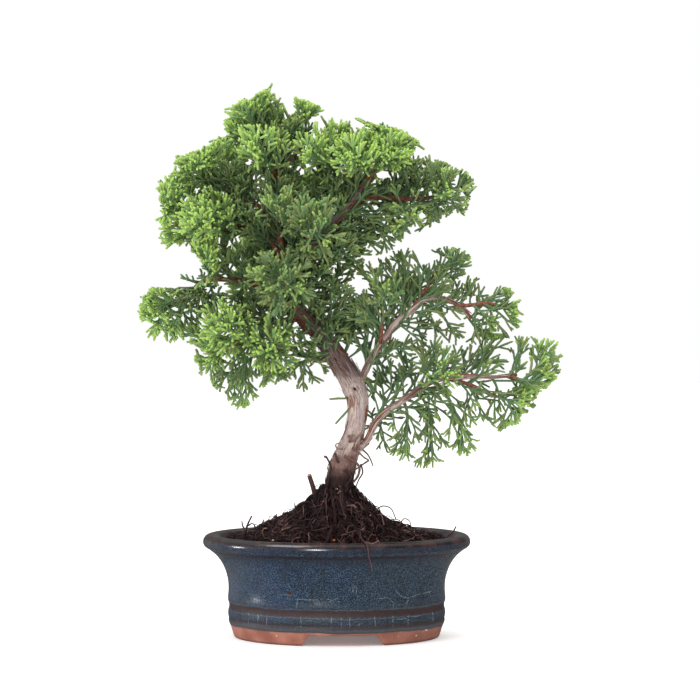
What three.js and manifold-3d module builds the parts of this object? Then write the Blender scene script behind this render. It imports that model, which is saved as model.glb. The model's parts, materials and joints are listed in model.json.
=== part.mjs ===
// A juniper bonsai in an oval glazed pot. Millimetres, +Z up.
// The model is drawn round the centre of the pot's foot and shifted at the end, so that the origin is
// the middle of the whole plant's box, on the surface that the pot stands on.
import * as THREE from 'three';
import { mergeVertices } from 'three/addons/utils/BufferGeometryUtils.js';
import Module from 'manifold-3d';

const wasm = await Module();
wasm.setup();

// ---------------------------------------------------------------- driving dimensions
const GAP = 0.3;                 // between pieces that rest against each other
const CLEAR = 0.35;              // kept between the pieces of the canopy

const POT_LENGTH = 160;          // over the lip, along X
const POT_RATIO = 0.75;          // width of the oval over its length
const POT_HEIGHT = 61.4;
const POT_SIDES = 40;
const WALL = 5.8;                // thickness of the fired wall
const FLOOR_BOTTOM = 7;          // underside of the floor, inside the foot ring
const FLOOR_TOP = 13;
const FOOT_ARCH = { left: -21, right: 28.5, height: 6, slant: 5, flare: 1, shoulder: 0.9, steps: 4 };
const DRAIN_X = 28;              // of each drain hole, left and right of the middle
const DRAIN_RADIUS = 6.5;
const ROUND_SIDES = { drain: 16, trunk: 20 };

const SCREEN = { side: 24, thickness: 1, holes: 3, hole: 4.6, pitch: 7 };
const SCREEN_HEIGHT = FLOOR_TOP + GAP + SCREEN.thickness / 2;

const SOIL_EDGE = 58;            // height of the soil where it meets the wall
const SOIL_SIDES = 28;
const SOIL_REACH = 68.3;         // half-length of the soil where it meets the wall
const TRUNK_X = 0.8;             // of the trunk's foot
const HOLE = { bottom: 62, top: 104, bottomRadius: 10.2, topRadius: 10.6 };

const TWIG_FOOT = 0.95;          // radius of a spray's brown twig where it leaves the limb
const TWIG_SHARE = 0.14;         // of the way from the limb to the tip that is bare twig
const STEM_RADIUS = 1.5;         // of a spray's slim three-sided green stem
const STEM_STEPS = 3;
const LAST_ROOT = 0.96;          // a twig at a limb's end is rooted a little before it
const NEEDLE_RADIUS = 0.7;       // of a cord-like branchlet
const NEEDLE_PITCH = 2.5;        // between branchlets along a stem
const NEEDLE_LENGTH = { foot: 25, tip: 8 };
const NEEDLE_SEED = 20240611;

// ---------------------------------------------------------------- small tools
const vec = (x, y, z) => new THREE.Vector3(x, y, z);
const { lerp, clamp, degToRad } = THREE.MathUtils;

// A point of a circle, as the angle of its i-th corner out of n.
const corner = (i, n) => (2 * Math.PI * i) / n;

function randomFrom(seed) {
  let state = seed >>> 0;
  return () => {
    state = (state + 0x6d2b79f5) >>> 0;
    let t = state;
    t = Math.imul(t ^ (t >>> 15), t | 1);
    t ^= t + Math.imul(t ^ (t >>> 7), t | 61);
    return ((t ^ (t >>> 14)) >>> 0) / 4294967296;
  };
}

// A closed mesh becomes a solid once its shared corners are one and its flat triangles are gone.
function solidFrom(geometry) {
  const plain = geometry.clone();
  plain.deleteAttribute('normal');
  plain.deleteAttribute('uv');
  const merged = mergeVertices(plain, 1e-4);
  const index = merged.index.array;
  const faces = [];
  for (let i = 0; i < index.length; i += 3) {
    const [a, b, c] = [index[i], index[i + 1], index[i + 2]];
    if (a !== b && b !== c && c !== a) faces.push(a, b, c);
  }
  return new wasm.Manifold(new wasm.Mesh({
    numProp: 3,
    vertProperties: new Float32Array(merged.attributes.position.array),
    triVerts: new Uint32Array(faces),
  }));
}

function geometryFrom(solid) {
  const mesh = solid.getMesh();
  const geometry = new THREE.BufferGeometry();
  const places = new Float32Array(mesh.vertProperties);
  geometry.setAttribute('position', new THREE.BufferAttribute(places, 3));
  geometry.setIndex(new THREE.BufferAttribute(new Uint32Array(mesh.triVerts), 1));
  geometry.computeVertexNormals();
  return geometry;
}

// A plain mesh from its corners and the corners of each triangle.
function meshFrom(corners, faces) {
  const geometry = new THREE.BufferGeometry();
  const places = corners.flatMap((p) => [p.x, p.y, p.z]);
  geometry.setAttribute('position', new THREE.Float32BufferAttribute(places, 3));
  geometry.setIndex(faces);
  return geometry;
}

const fuse = (solids) => wasm.Manifold.union(solids);

// Rings of the same number of corners, joined one to the next, with a flat fan over each end.
function loft(rings) {
  const n = rings[0].length;
  const faces = [];
  for (let k = 0; k + 1 < rings.length; k++) {
    for (let i = 0; i < n; i++) {
      const j = (i + 1) % n;
      const [a, b, c, d] = [k * n + i, k * n + j, (k + 1) * n + j, (k + 1) * n + i];
      faces.push(a, b, c, a, c, d);
    }
  }
  const last = (rings.length - 1) * n;
  for (let i = 1; i + 1 < n; i++) {
    faces.push(0, i + 1, i);
    faces.push(last, last + i, last + i + 1);
  }
  return meshFrom(rings.flat(), faces);
}

// The two directions of a frame, turned by an angle.
function turned(u, v, angle, length = 1) {
  return u.clone().multiplyScalar(length * Math.cos(angle)).addScaledVector(v, length * Math.sin(angle));
}

// The frames carried along a row of points: each halves the bend at its point, and none twists. The
// first and last may be turned square to a given direction, so that two ends meet face to face.
function framesAlong(points, { first, end } = {}) {
  const last = points.length - 1;
  let u = null;
  return points.map((centre, k) => {
    const along = points[Math.min(k + 1, last)].clone().sub(points[Math.max(k - 1, 0)]).normalize();
    if (k === 0 && first) along.copy(first);
    if (k === last && end) along.copy(end);
    if (u === null) u = Math.abs(along.z) > 0.9 ? vec(1, 0, 0) : vec(0, 0, 1);
    u = u.clone().addScaledVector(along, -u.dot(along)).normalize();
    return { centre, u, v: along.clone().cross(u) };
  });
}

// A tapered limb through a row of points.
function limb(points, startRadius, endRadius, { sides = 5, lump = () => 1, first, end } = {}) {
  const last = points.length - 1;
  const rings = framesAlong(points, { first, end }).map(({ centre, u, v }, k) => {
    const s = k / last;
    const radius = startRadius + (endRadius - startRadius) * s;
    const ring = [];
    for (let i = 0; i < sides; i++) {
      const angle = corner(i, sides);
      ring.push(turned(u, v, angle, radius * lump(angle, s)).add(centre));
    }
    return ring;
  });
  return solidFrom(loft(rings));
}

// Shortest distance between two straight stretches, by the usual clamped closest points.
function distanceBetween(p1, q1, p2, q2) {
  const d1 = q1.clone().sub(p1);
  const d2 = q2.clone().sub(p2);
  const r = p1.clone().sub(p2);
  const a = d1.dot(d1);
  const e = d2.dot(d2);
  const f = d2.dot(r);
  const c = d1.dot(r);
  const b = d1.dot(d2);
  const denominator = a * e - b * b;
  const limit = (x) => clamp(x, 0, 1);
  let s = denominator > 1e-9 ? limit((b * f - c * e) / denominator) : 0;
  let t = (b * s + f) / e;
  if (t < 0) {
    t = 0;
    s = limit(-c / a);
  } else if (t > 1) {
    t = 1;
    s = limit((b - c) / a);
  }
  return p1.clone().addScaledVector(d1, s).distanceTo(p2.clone().addScaledVector(d2, t));
}

// ---------------------------------------------------------------- pot
// Half-length of the outside and of the inside against height, at the ends of the oval.
const OUTSIDE = [
  [60.8, 0], [62.4, 2.4], [64.6, 9.6], [65.2, 17.4], [64.3, 18.8], [65.1, 20.2], [65, 32], [67.2, 41],
  [71.2, 48], [77.4, 53], [79.8, 56.4], [79.6, 59.6],
];
const INSIDE = [
  [77.4, POT_HEIGHT], [70.4, POT_HEIGHT], [68.6, 58], [64.6, 46], [65 - WALL, 30], [57.6, 16],
  [54, FLOOR_TOP],
];

function potBody() {
  const profile = [
    [0, FLOOR_BOTTOM], [50.5, FLOOR_BOTTOM], [52.5, 0], ...OUTSIDE, ...INSIDE, [0, FLOOR_TOP],
  ].map(([radius, height]) => new THREE.Vector2(radius, height));
  const bowl = new THREE.LatheGeometry(profile, POT_SIDES);
  bowl.rotateX(Math.PI / 2);
  bowl.scale(1, POT_RATIO, 1);
  return solidFrom(bowl);
}

// A round bar that stands upright, to bore with.
function bar(x, bottom, top, bottomRadius, topRadius, sides) {
  const round = new THREE.CylinderGeometry(topRadius, bottomRadius, top - bottom, sides);
  round.rotateX(Math.PI / 2);
  round.translate(x, 0, (top + bottom) / 2);
  return solidFrom(round);
}

// The arch between the feet runs through the foot ring, front and back. It starts below the ground and
// its sides lean in to a flat top.
function footArch() {
  const { left, right, height, slant, flare, shoulder, steps } = FOOT_ARCH;
  const shape = new THREE.Shape();
  shape.moveTo(left - flare, -flare);
  shape.lineTo(right + flare, -flare);
  shape.quadraticCurveTo(right - flare, height * shoulder, right - slant, height);
  shape.lineTo(left + slant, height);
  shape.quadraticCurveTo(left + flare, height * shoulder, left - flare, -flare);
  const prism = new THREE.ExtrudeGeometry(shape, {
    depth: POT_LENGTH,
    bevelEnabled: false,
    curveSegments: steps,
  });
  prism.rotateX(Math.PI / 2);
  prism.translate(0, POT_LENGTH / 2, 0);
  return solidFrom(prism);
}

function drainHole(x) {
  const reach = FLOOR_TOP - FLOOR_BOTTOM;
  return bar(x, FLOOR_BOTTOM - reach / 2, FLOOR_TOP + reach / 2, DRAIN_RADIUS, DRAIN_RADIUS,
    ROUND_SIDES.drain);
}

const pot = potBody()
  .subtract(footArch())
  .subtract(drainHole(-DRAIN_X))
  .subtract(drainHole(DRAIN_X));

// ---------------------------------------------------------------- drain screens
function drainScreen() {
  const { side, thickness, holes, hole, pitch } = SCREEN;
  const middle = (holes - 1) / 2;
  let plate = solidFrom(new THREE.BoxGeometry(side, side, thickness));
  for (let i = 0; i < holes; i++) {
    for (let j = 0; j < holes; j++) {
      const opening = new THREE.BoxGeometry(hole, hole, 2 * thickness);
      opening.translate((i - middle) * pitch, (j - middle) * pitch, 0);
      plate = plate.subtract(solidFrom(opening));
    }
  }
  return geometryFrom(plate);
}

// The soil is pressed round each screen, so its underside has a pocket for it.
function screenPocket(x) {
  const side = SCREEN.side + 2 * GAP;
  const pocket = new THREE.BoxGeometry(side, side, SCREEN.thickness + 2 * GAP);
  pocket.translate(x, 0, SCREEN_HEIGHT);
  return solidFrom(pocket);
}

// ---------------------------------------------------------------- soil
// Height of the mound against the distance from the trunk, as a share of the way to the wall.
const MOUND = [
  [0, 92], [0.14, 90.5], [0.2, 86], [0.28, 80.5], [0.38, 75.5], [0.5, 71], [0.66, 66.5], [0.84, 62],
  [1, SOIL_EDGE],
];
// Shares at which the mound's rings lie, from the wall to the trunk.
const MOUND_RINGS = [1, 0.86, 0.7, 0.54, 0.42, 0.32, 0.24, 0.18, 0.13];
// Half-length of the cavity against height, below the mound.
const ROOT_BALL = [[53, FLOOR_TOP + GAP], [57.2, 16.5], [58.9, 30], [64, 46]];
// Ridges that run out from the trunk: their height, their number round the mound, how much they turn
// on the way to the wall and where they start.
const RIDGES = [[1.1, 3, 9, 0], [0.8, 7, -14, 1], [0.5, 13, 23, 2]];
const RIDGES_END = 1.04;         // the ridges die out just before the wall
const MOUND_BACK = 0.5;          // how far back of the pot's middle the mound stands

function moundHeight(share) {
  for (let k = 1; k < MOUND.length; k++) {
    const [s0, h0] = MOUND[k - 1];
    const [s1, h1] = MOUND[k];
    if (share <= s1) return h0 + ((h1 - h0) * (share - s0)) / (s1 - s0);
  }
  return SOIL_EDGE;
}

function moundRelief(share, angle) {
  if (share * RIDGES_END >= 1) return 0;
  const fade = Math.sin(Math.PI * share * RIDGES_END) ** 0.5;
  const ridges = RIDGES.map(([height, count, turn, start]) => (
    height * Math.sin(count * angle + turn * share + start)));
  return fade * (ridges[0] + ridges[1] + ridges[2]);
}

// The mound is round at the trunk and takes the oval of the pot towards the wall.
function moundPoint(share, angle) {
  const reach = share * SOIL_REACH;
  const back = share === 1 ? 0 : MOUND_BACK;
  return vec(
    reach * Math.cos(angle),
    reach * lerp(1, POT_RATIO, share) * Math.sin(angle) + back,
    moundHeight(share) + moundRelief(share, angle),
  );
}

function soilBody() {
  const angles = Array.from({ length: SOIL_SIDES }, (_, i) => corner(i, SOIL_SIDES));
  const buried = ROOT_BALL.map(([length, z]) => angles.map((angle) => vec(
    (length - GAP) * Math.cos(angle),
    (length * POT_RATIO - GAP) * Math.sin(angle),
    z,
  )));
  const mound = MOUND_RINGS.map((share) => angles.map((angle) => moundPoint(share, angle)));
  return solidFrom(loft([...buried, ...mound]));
}

// Thick surface roots lie half sunk on the mound, from the foot of the trunk outwards.
const SURFACE_ROOTS = [
  { angle: 0.2, reach: 0.6, sway: 0.5, radius: 1.7 },
  { angle: 1.3, reach: 0.5, sway: -0.5, radius: 1.5 },
  { angle: 2.6, reach: 0.62, sway: 0.4, radius: 1.7 },
  { angle: 3.5, reach: 0.6, sway: 0.5, radius: 1.6 },
  { angle: 4.2, reach: 0.72, sway: -0.3, radius: 1.9 },
  { angle: 4.85, reach: 0.66, sway: 0.4, radius: 1.7 },
  { angle: 5.6, reach: 0.74, sway: -0.4, radius: 1.7 },
];

const ROOT_START = 0.19;         // share of the way to the wall where a surface root comes out
const ROOT_STEPS = 5;

// A root sways aside on its way out, and sinks into the mound towards its end.
function surfaceRoot({ angle, reach, sway, radius }) {
  const points = [];
  for (let k = 0; k <= ROOT_STEPS; k++) {
    const s = k / ROOT_STEPS;
    const p = moundPoint(lerp(ROOT_START, reach, s), angle + sway * Math.sin(2.6 * s) * s);
    points.push(p.setZ(p.z + 0.5 * radius * (1 - 2.4 * s ** 3)));
  }
  return limb(points, radius, 0.5 * radius, { sides: 4 });
}

// The cut stub and the twiggy root that stand up out of the mound on the left of the trunk.
const STUBS = [
  { points: [[-11.5, -7, 80], [-14.5, -8, 90], [-16.5, -8.5, 97.5]], radius: 2.4, end: 2.1 },
  { points: [[-25, -9, 74], [-22, -10, 80.5], [-17.5, -10, 81.5], [-13, -9, 79]], radius: 1.0, end: 0.9 },
  { points: [[-54, -8, 60], [-53.5, -8, 68], [-52.5, -8, 74]], radius: 1.0, end: 0.7 },
];

const stub = ({ points, radius, end }) => limb(points.map((p) => vec(...p)), radius, end);

function trunkHole() {
  const { bottom, top, bottomRadius, topRadius } = HOLE;
  return bar(TRUNK_X, bottom, top, bottomRadius, topRadius, ROUND_SIDES.trunk);
}

const soil = fuse([soilBody(), ...SURFACE_ROOTS.map(surfaceRoot), ...STUBS.map(stub)])
  .subtract(trunkHole())
  .subtract(screenPocket(-DRAIN_X))
  .subtract(screenPocket(DRAIN_X));

// ---------------------------------------------------------------- wood
// Each limb is a list of points along its middle, chosen by hand, and its radius at foot and tip.
const LIMBS = {
  trunk_foot: { radius: [8.6, 8.2], sides: 12, steps: 3,
    points: [[TRUNK_X, 0, HOLE.bottom + GAP], [TRUNK_X, 0, 78], [1, 0, 88], [2, 0, 96], [4, 0, 104]] },
  trunk_waist: { radius: [8.2, 5.4], sides: 12, steps: 4,
    points: [[2, 0, 96], [4, 0, 104], [7.6, 0, 114], [10.6, 0, 123], [12, 0, 132]] },
  trunk_neck: { radius: [5.3, 7.2], sides: 12, steps: 4,
    points: [[9.6, 0, 120], [11.6, 0, 128], [12.6, 0, 138], [11.8, 0, 147], [9, 1, 154]] },
  trunk_shaggy: { radius: [7.2, 4.4], sides: 10, steps: 7,
    points: [[12, 0, 146], [8, 1, 155], [2, 2, 164], [-4, 2, 173], [-9, 2, 181], [-16, 2, 187],
      [-22, 2, 194]] },
  leader: { radius: [4.4, 1.5], sides: 6, steps: 8,
    points: [[-18, 2, 189], [-23, 2, 195], [-26, 3, 204], [-26, 3, 214], [-20, 2, 228], [-8, 0, 242],
      [4, -2, 255], [14, -2, 267], [21, -2, 277]] },
  apex: { radius: [2.6, 1.4], steps: 6,
    points: [[-26, 3, 206], [-32, 2, 228], [-35, 0, 250], [-36, 0, 272], [-41, 0, 290], [-47, 0, 304]] },
  tuft: { radius: [1.6, 1.4], sides: 4, steps: 3,
    points: [[-36, 0, 273], [-30, 0, 284], [-22, 0, 292], [-18, 0, 301]] },
  crown_left: { radius: [1.7, 1.4], sides: 4, steps: 3,
    points: [[1, -1, 252], [2, 7, 266], [1, 11, 280], [-1, 12, 291]] },
  crown_right: { radius: [1.6, 1.4], sides: 4, steps: 3,
    points: [[17, -2, 271], [21, -2, 277], [27, -4, 287], [30, -4, 292]] },
  lobe: { radius: [2.2, 1.4], steps: 5,
    points: [[3, -1, 254], [21, 0, 263], [43, -2, 262], [57, -3, 263], [68, -2, 266]] },
  shoulder: { radius: [1.9, 1.4], sides: 4, steps: 4,
    points: [[-35, 0, 247], [-45, 0, 257], [-58, 0, 263], [-72, 2, 270]] },
  side: { radius: [1.9, 1.4], sides: 4, steps: 4,
    points: [[-31, 2, 224], [-45, 0, 242], [-58, -2, 247], [-84, 0, 249]] },
  far: { radius: [2.2, 1.4], sides: 4, steps: 6,
    points: [[-25, 3, 200], [-40, -2, 208], [-58, -4, 213], [-76, -2, 214], [-83, 0, 211], [-87, 0, 206],
      [-90, 0, 201]] },
  low: { radius: [2.2, 1.4], sides: 4, steps: 5,
    points: [[-20, 2, 191], [-34, -2, 189], [-48, -4, 185], [-68, -4, 172]] },
  low_middle: { radius: [1.8, 1.4], sides: 4, steps: 5,
    points: [[0, 2, 167], [-12, -3, 165.5], [-24, -6, 171], [-34, -10, 175], [-38, -16, 175]] },
  front_high: { radius: [1.8, 1.4], sides: 4, steps: 4,
    points: [[-21, 2, 227], [-20, -14, 236], [-18, -30, 239], [-16, -42, 238]] },
  front_low: { radius: [1.8, 1.4], sides: 4, steps: 4,
    points: [[-26, 3, 204], [-26, -12, 208], [-28, -28, 210], [-30, -42, 211]] },
  back_high: { radius: [1.8, 1.4], sides: 4, steps: 4,
    points: [[-9, 0, 241], [-8, 16, 250], [-10, 32, 254], [-12, 44, 256]] },
  back_low: { radius: [1.8, 1.4], sides: 4, steps: 4,
    points: [[-26, 3, 212], [-30, 18, 219], [-34, 32, 221], [-38, 44, 222]] },
  arch: { radius: [3.5, 1.4], steps: 8,
    points: [[11, 0, 144], [14, 0, 151], [18.7, -1, 163], [26, -2, 175], [35, -2, 187], [44, -1, 195],
      [53, 0, 202], [60, 0, 203], [68, 0, 201], [75, 0, 197], [81, 0, 191]] },
  arch_up: { radius: [1.6, 1.4], sides: 4, steps: 3,
    points: [[45, -1, 196], [52, 2, 206], [58, 3, 215], [62, 2, 220]] },
  arch_far: { radius: [1.5, 1.4], sides: 4, steps: 2,
    points: [[74, 0, 198], [83, 0, 199], [91, 0, 200]] },
  arch_back: { radius: [1.6, 1.4], sides: 4, steps: 3,
    points: [[35, -2, 187], [38, 12, 192], [42, 26, 198], [45, 36, 201]] },
  arch_front: { radius: [1.5, 1.4], sides: 4, steps: 3,
    points: [[26, -2, 175], [27, -14, 186], [27, -24, 194]] },
  wide: { radius: [3.3, 1.4], steps: 9,
    points: [[6, 0, 107], [9.5, -2, 112], [15, -4, 118], [21, -5, 129], [28, -6, 135], [35, -6, 139],
      [44, -6, 145], [53, -6, 151], [60, -6, 154], [78, -6, 156], [98, -4, 156], [108, -3, 157]] },
  low_right: { radius: [1.6, 1.4], sides: 4, steps: 3,
    points: [[66, -6, 155], [80, -5, 151], [92, -4, 145]] },
};

// Sprays: the limb they grow on, how far along it, and the tips they reach. The first tip is the end of
// the stem; a second one is the end of its fork.
const SPRAYS = [
  ['apex', 1, [-60, 0, 323], [-40, -8, 326]],
  ['apex', 0.84, [-69, 16, 311]],
  ['apex', 0.62, [-52, -46, 290]],
  ['apex', 0.74, [-30, 26, 314]],
  ['tuft', 1, [-21, 4, 322], [-10, -6, 317]],
  ['crown_left', 1, [3, 12, 310]],
  ['crown_left', 0.5, [-20, -42, 286]],
  ['crown_right', 1, [34, 0, 307], [17, -26, 303]],
  ['crown_right', 0.7, [48, 26, 299]],
  ['crown_right', 0.1, [4, -58, 280]],
  ['crown_right', 0.5, [32, -48, 282]],
  ['lobe', 1, [85, 0, 280], [77, -14, 253]],
  ['lobe', 0.78, [58, 22, 289]],
  ['lobe', 0.7, [66, -42, 266]],
  ['lobe', 0.4, [37, -50, 241]],
  ['lobe', 0.6, [56, 40, 248]],
  ['shoulder', 1, [-94, 0, 287], [-76, -32, 286]],
  ['shoulder', 0.7, [-68, 30, 298]],
  ['side', 1, [-109, 12, 268], [-104, -26, 252]],
  ['side', 0.85, [-108, 20, 237]],
  ['side', 0.6, [-84, -58, 245]],
  ['far', 1, [-117, 4, 200], [-107, -10, 177]],
  ['far', 0.93, [-93, 16, 178]],
  ['far', 0.62, [-101, 0, 222]],
  ['far', 0.4, [-78, -48, 226]],
  ['low', 1, [-83, -14, 171], [-78, 16, 157]],
  ['low', 0.86, [-66, -5, 140]],
  ['low', 0.66, [-52, -30, 140]],
  ['low', 0.5, [-44, 26, 151]],
  ['low', 0.72, [-66, -56, 189]],
  ['low_middle', 1, [-37, -50, 172]],
  ['low_middle', 0.7, [-28, -12, 151]],
  ['low_middle', 0.3, [-14, 20, 154]],
  ['front_high', 1, [-21, -70, 254], [-4, -70, 231]],
  ['front_high', 0.6, [-46, -50, 262]],
  ['front_low', 1, [-50, -68, 220], [-16, -68, 205]],
  ['back_high', 1, [-14, 74, 268], [14, 68, 250]],
  ['back_high', 0.6, [-42, 56, 280]],
  ['back_low', 1, [-64, 66, 238], [-24, 74, 216]],
  ['back_low', 0.6, [-62, 52, 196]],
  ['arch_front', 1, [30, -50, 213]],
  ['arch_up', 1, [66, -10, 233], [50, 12, 232]],
  ['arch_up', 0.6, [82, 14, 225]],
  ['arch', 1, [99, 20, 179]],
  ['arch_far', 1, [109, -14, 190], [100, 0, 211]],
  ['arch_back', 1, [40, 68, 216], [66, 60, 196]],
  ['wide', 1, [133, -5, 158], [126, 4, 179]],
  ['wide', 0.94, [124, 16, 144]],
  ['wide', 0.62, [69, -44, 160]],
  ['low_right', 1, [116, -10, 137], [105, 6, 124]],
  ['wide', 0.5, [36, -6, 109]],
  ['wide', 0.58, [54, 8, 102]],
  ['wide', 0.7, [76, -12, 110]],
];

const curveOf = (points) => (
  new THREE.CatmullRomCurve3(points.map((p) => vec(...p)), false, 'centripetal'));

// Lengthwise flutes and swellings of old juniper wood, as a share of the limb's radius.
const FLUTES = { three: 0.07, five: 0.05 };
const FLUTE_REACH = 1 + FLUTES.three + FLUTES.five;

const flutes = (angle, s) => (
  1 + FLUTES.three * Math.sin(3 * angle + 3 * s) + FLUTES.five * Math.sin(5 * angle - 6 * s + 1));

// Straight stretches that fill the canopy so far: ends, radius and the node that they belong to.
const taken = [];

function occupy(node, points, startRadius, endRadius) {
  const last = points.length - 1;
  for (let k = 0; k < last; k++) {
    const radii = [k, k + 1].map((i) => lerp(startRadius, endRadius, i / last));
    taken.push({ a: points[k], b: points[k + 1], radius: Math.max(...radii), node });
  }
}

const wood = [];
for (const [name, entry] of Object.entries(LIMBS)) {
  const { radius: [foot, tip], sides, steps } = entry;
  entry.curve = curveOf(entry.points);
  const points = entry.curve.getPoints(steps);
  const isTrunk = name.startsWith('trunk');
  const reach = isTrunk ? FLUTE_REACH : 1;
  wood.push(limb(points, foot, tip, { sides, lump: isTrunk ? flutes : undefined }));
  occupy('trunk', points, reach * foot, reach * tip);
}

// ---------------------------------------------------------------- sprays
// A stem leaves its limb part of the way along it and part of the way to its tip, and its one bend
// lies this far out.
const LEAN = { along: 0.5, out: 0.8, knee: 0.42 };
// How far a stem may bow aside to find a clear way, and in how many directions each bow is tried.
const BOWS = { amounts: [4, 8, 12, 17, 23], directions: 10 };

// Two directions square to a third one.
function acrossFrom(direction) {
  const u = (Math.abs(direction.z) > 0.9 ? vec(1, 0, 0) : vec(0, 0, 1)).cross(direction).normalize();
  return [u, direction.clone().cross(u).normalize()];
}

// A stem leaves its limb leaning forward and turns towards its tip, bowed to one side where it has to be.
function stemCurve(foot, along, tip, bow) {
  const way = tip.clone().sub(foot);
  const length = way.length();
  const lean = along.clone().multiplyScalar(LEAN.along).addScaledVector(way.normalize(), LEAN.out);
  const knee = foot.clone().addScaledVector(lean.normalize(), LEAN.knee * length).add(bow);
  return new THREE.QuadraticBezierCurve3(foot, knee, tip);
}

// The straight way first, then ever wider bows all round it.
function* bows(direction) {
  yield vec(0, 0, 0);
  const [u, v] = acrossFrom(direction);
  for (const amount of BOWS.amounts) {
    for (let k = 0; k < BOWS.directions; k++) yield turned(u, v, corner(k, BOWS.directions), amount);
  }
}

function pointsAlong(curve, from, to, steps) {
  const points = [];
  for (let k = 0; k <= steps; k++) points.push(curve.getPoint(lerp(from, to, k / steps)));
  return points;
}

// Whether a row of points keeps clear of everything but its own node.
function isClear(node, points, radius) {
  return taken.every((other) => other.node === node || points.slice(1).every((b, k) => (
    distanceBetween(points[k], b, other.a, other.b) > radius + other.radius + CLEAR)));
}

function findStem(node, foot, along, tip, twigShare) {
  for (const bow of bows(tip.clone().sub(foot).normalize())) {
    const curve = stemCurve(foot, along, tip, bow);
    const start = twigShare === 0 ? 0 : twigShare + CLEAR / curve.getLength();
    const stem = pointsAlong(curve, start, 1, STEM_STEPS);
    const twig = twigShare === 0 ? [] : pointsAlong(curve, 0, twigShare, 1);
    if (!isClear(node, stem, STEM_RADIUS) || !isClear('trunk', twig, STEM_RADIUS)) continue;
    return { twig, stem, joint: curve.getTangent(twigShare) };
  }
  throw new Error(`no clear way for ${node}`);
}

const stemSolid = ({ points, first }) => limb(points, STEM_RADIUS, STEM_RADIUS, { sides: 3, first });

const sprays = [];
const counts = {};
for (const [limbName, at, firstTip, secondTip] of SPRAYS) {
  counts[limbName] = (counts[limbName] ?? 0) + 1;
  const node = `spray_${limbName}_${counts[limbName]}`;
  const { curve } = LIMBS[limbName];
  const rooted = Math.min(at, LAST_ROOT);
  const foot = curve.getPoint(rooted);
  const tip = vec(...firstTip);
  const { twig, stem, joint } = findStem(node, foot, curve.getTangent(rooted), tip, TWIG_SHARE);
  wood.push(limb(twig, TWIG_FOOT, STEM_RADIUS, { sides: 3, end: joint }));
  occupy('trunk', twig, TWIG_FOOT, STEM_RADIUS);
  occupy(node, stem, STEM_RADIUS, STEM_RADIUS);
  const stems = [{ points: stem, first: joint }];
  if (secondTip !== undefined) {
    const along = stem[2].clone().sub(stem[1]).normalize();
    const fork = stem[1].clone();
    const second = findStem(node, fork, along, vec(...secondTip), 0).stem;
    occupy(node, second, STEM_RADIUS, STEM_RADIUS);
    stems.push({ points: second });
  }
  sprays.push({ node, stems, solids: stems.map(stemSolid) });
}

const trunk = fuse(wood);

// A branchlet: a three-sided needle, with its foot sunk into the stem.
function needle(foot, tip) {
  const [u, v] = acrossFrom(tip.clone().sub(foot).normalize());
  const corners = [0, 1, 2].map((i) => turned(u, v, corner(i, 3), NEEDLE_RADIUS).add(foot));
  return solidFrom(meshFrom([...corners, tip], [0, 2, 1, 0, 1, 3, 1, 2, 3, 2, 0, 3]));
}

// The way out of each face of a three-sided stem, at one of its stretches.
function faceNormals({ points, first }, k) {
  const { u } = framesAlong(points, { first })[k];
  const along = points[k + 1].clone().sub(points[k]).normalize();
  const v = along.clone().cross(u).normalize();
  return [60, 180, 300].map((degrees) => turned(u, v, degToRad(degrees)));
}

// The ways in which a branchlet is tried: by how much it is shortened, how far it is swung aside and
// by how many radians it is lifted.
const SIZES = [1, 0.8, 0.62];
const SWINGS = [
  [0, 0], [0.25, 0], [-0.25, 0], [0, 0.2], [0, -0.2], [0.45, 0.1], [-0.45, 0.1], [0.3, -0.2], [-0.3, -0.2],
];
const TOUCH = 0.01;              // a stretch of stem this near a branchlet's foot bears it
const CLEAR_WITHIN = 0.05;       // kept between the branchlets of one spray

// Branchlets come in whorls of three, as a juniper's do, one from each side of the stem. One that would
// cross another is swung, then shortened, and left out if it still does.
function growNeedle(spray, foot, along, out, length, spread) {
  const aside = along.clone().cross(out);
  const start = foot.clone().addScaledVector(along, TOUCH);
  const parents = taken.filter(({ a, b, node }) => (
    node === spray.node && distanceBetween(foot, start, a, b) < TOUCH));
  const room = (other) => NEEDLE_RADIUS + other.radius + (other.node === spray.node ? CLEAR_WITHIN : CLEAR);
  for (const size of SIZES) {
    for (const [swing, lift] of SWINGS) {
      const way = turned(along, out, spread + lift).addScaledVector(aside, swing).normalize();
      const bare = foot.clone().addScaledVector(way, STEM_RADIUS + NEEDLE_RADIUS);
      const tip = foot.clone().addScaledVector(way, length * size);
      const free = taken.every((other) => (
        parents.includes(other) || distanceBetween(bare, tip, other.a, other.b) > room(other)));
      if (!free) continue;
      taken.push({ a: foot, b: tip, radius: NEEDLE_RADIUS, node: spray.node });
      spray.solids.push(needle(foot, tip));
      return;
    }
  }
}

// The first and last branchlet stand this far along their stem.
const LEAFY = { from: 0.06, span: 0.9 };
// A branchlet's angle from its stem, in radians, and how far chance changes that and its length.
const SPREAD = { foot: 0.85, tip: 0.6, chance: 0.15 };
const LENGTHS = { least: 0.85, chance: 0.3 };

// The sprays take turns, so that each gets its share of the room.
const draw = randomFrom(NEEDLE_SEED);
const plans = [];
for (const spray of sprays) {
  for (const stem of spray.stems) {
    const count = Math.round(stem.points[0].distanceTo(stem.points[STEM_STEPS]) / NEEDLE_PITCH);
    for (let k = 0; k < count; k++) {
      const share = LEAFY.from + (LEAFY.span * (k + 0.5)) / count;
      plans.push({ spray, stem, share, face: k % 3, order: (k + draw()) / count });
    }
  }
}
plans.sort((p, q) => q.order - p.order);

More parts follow.
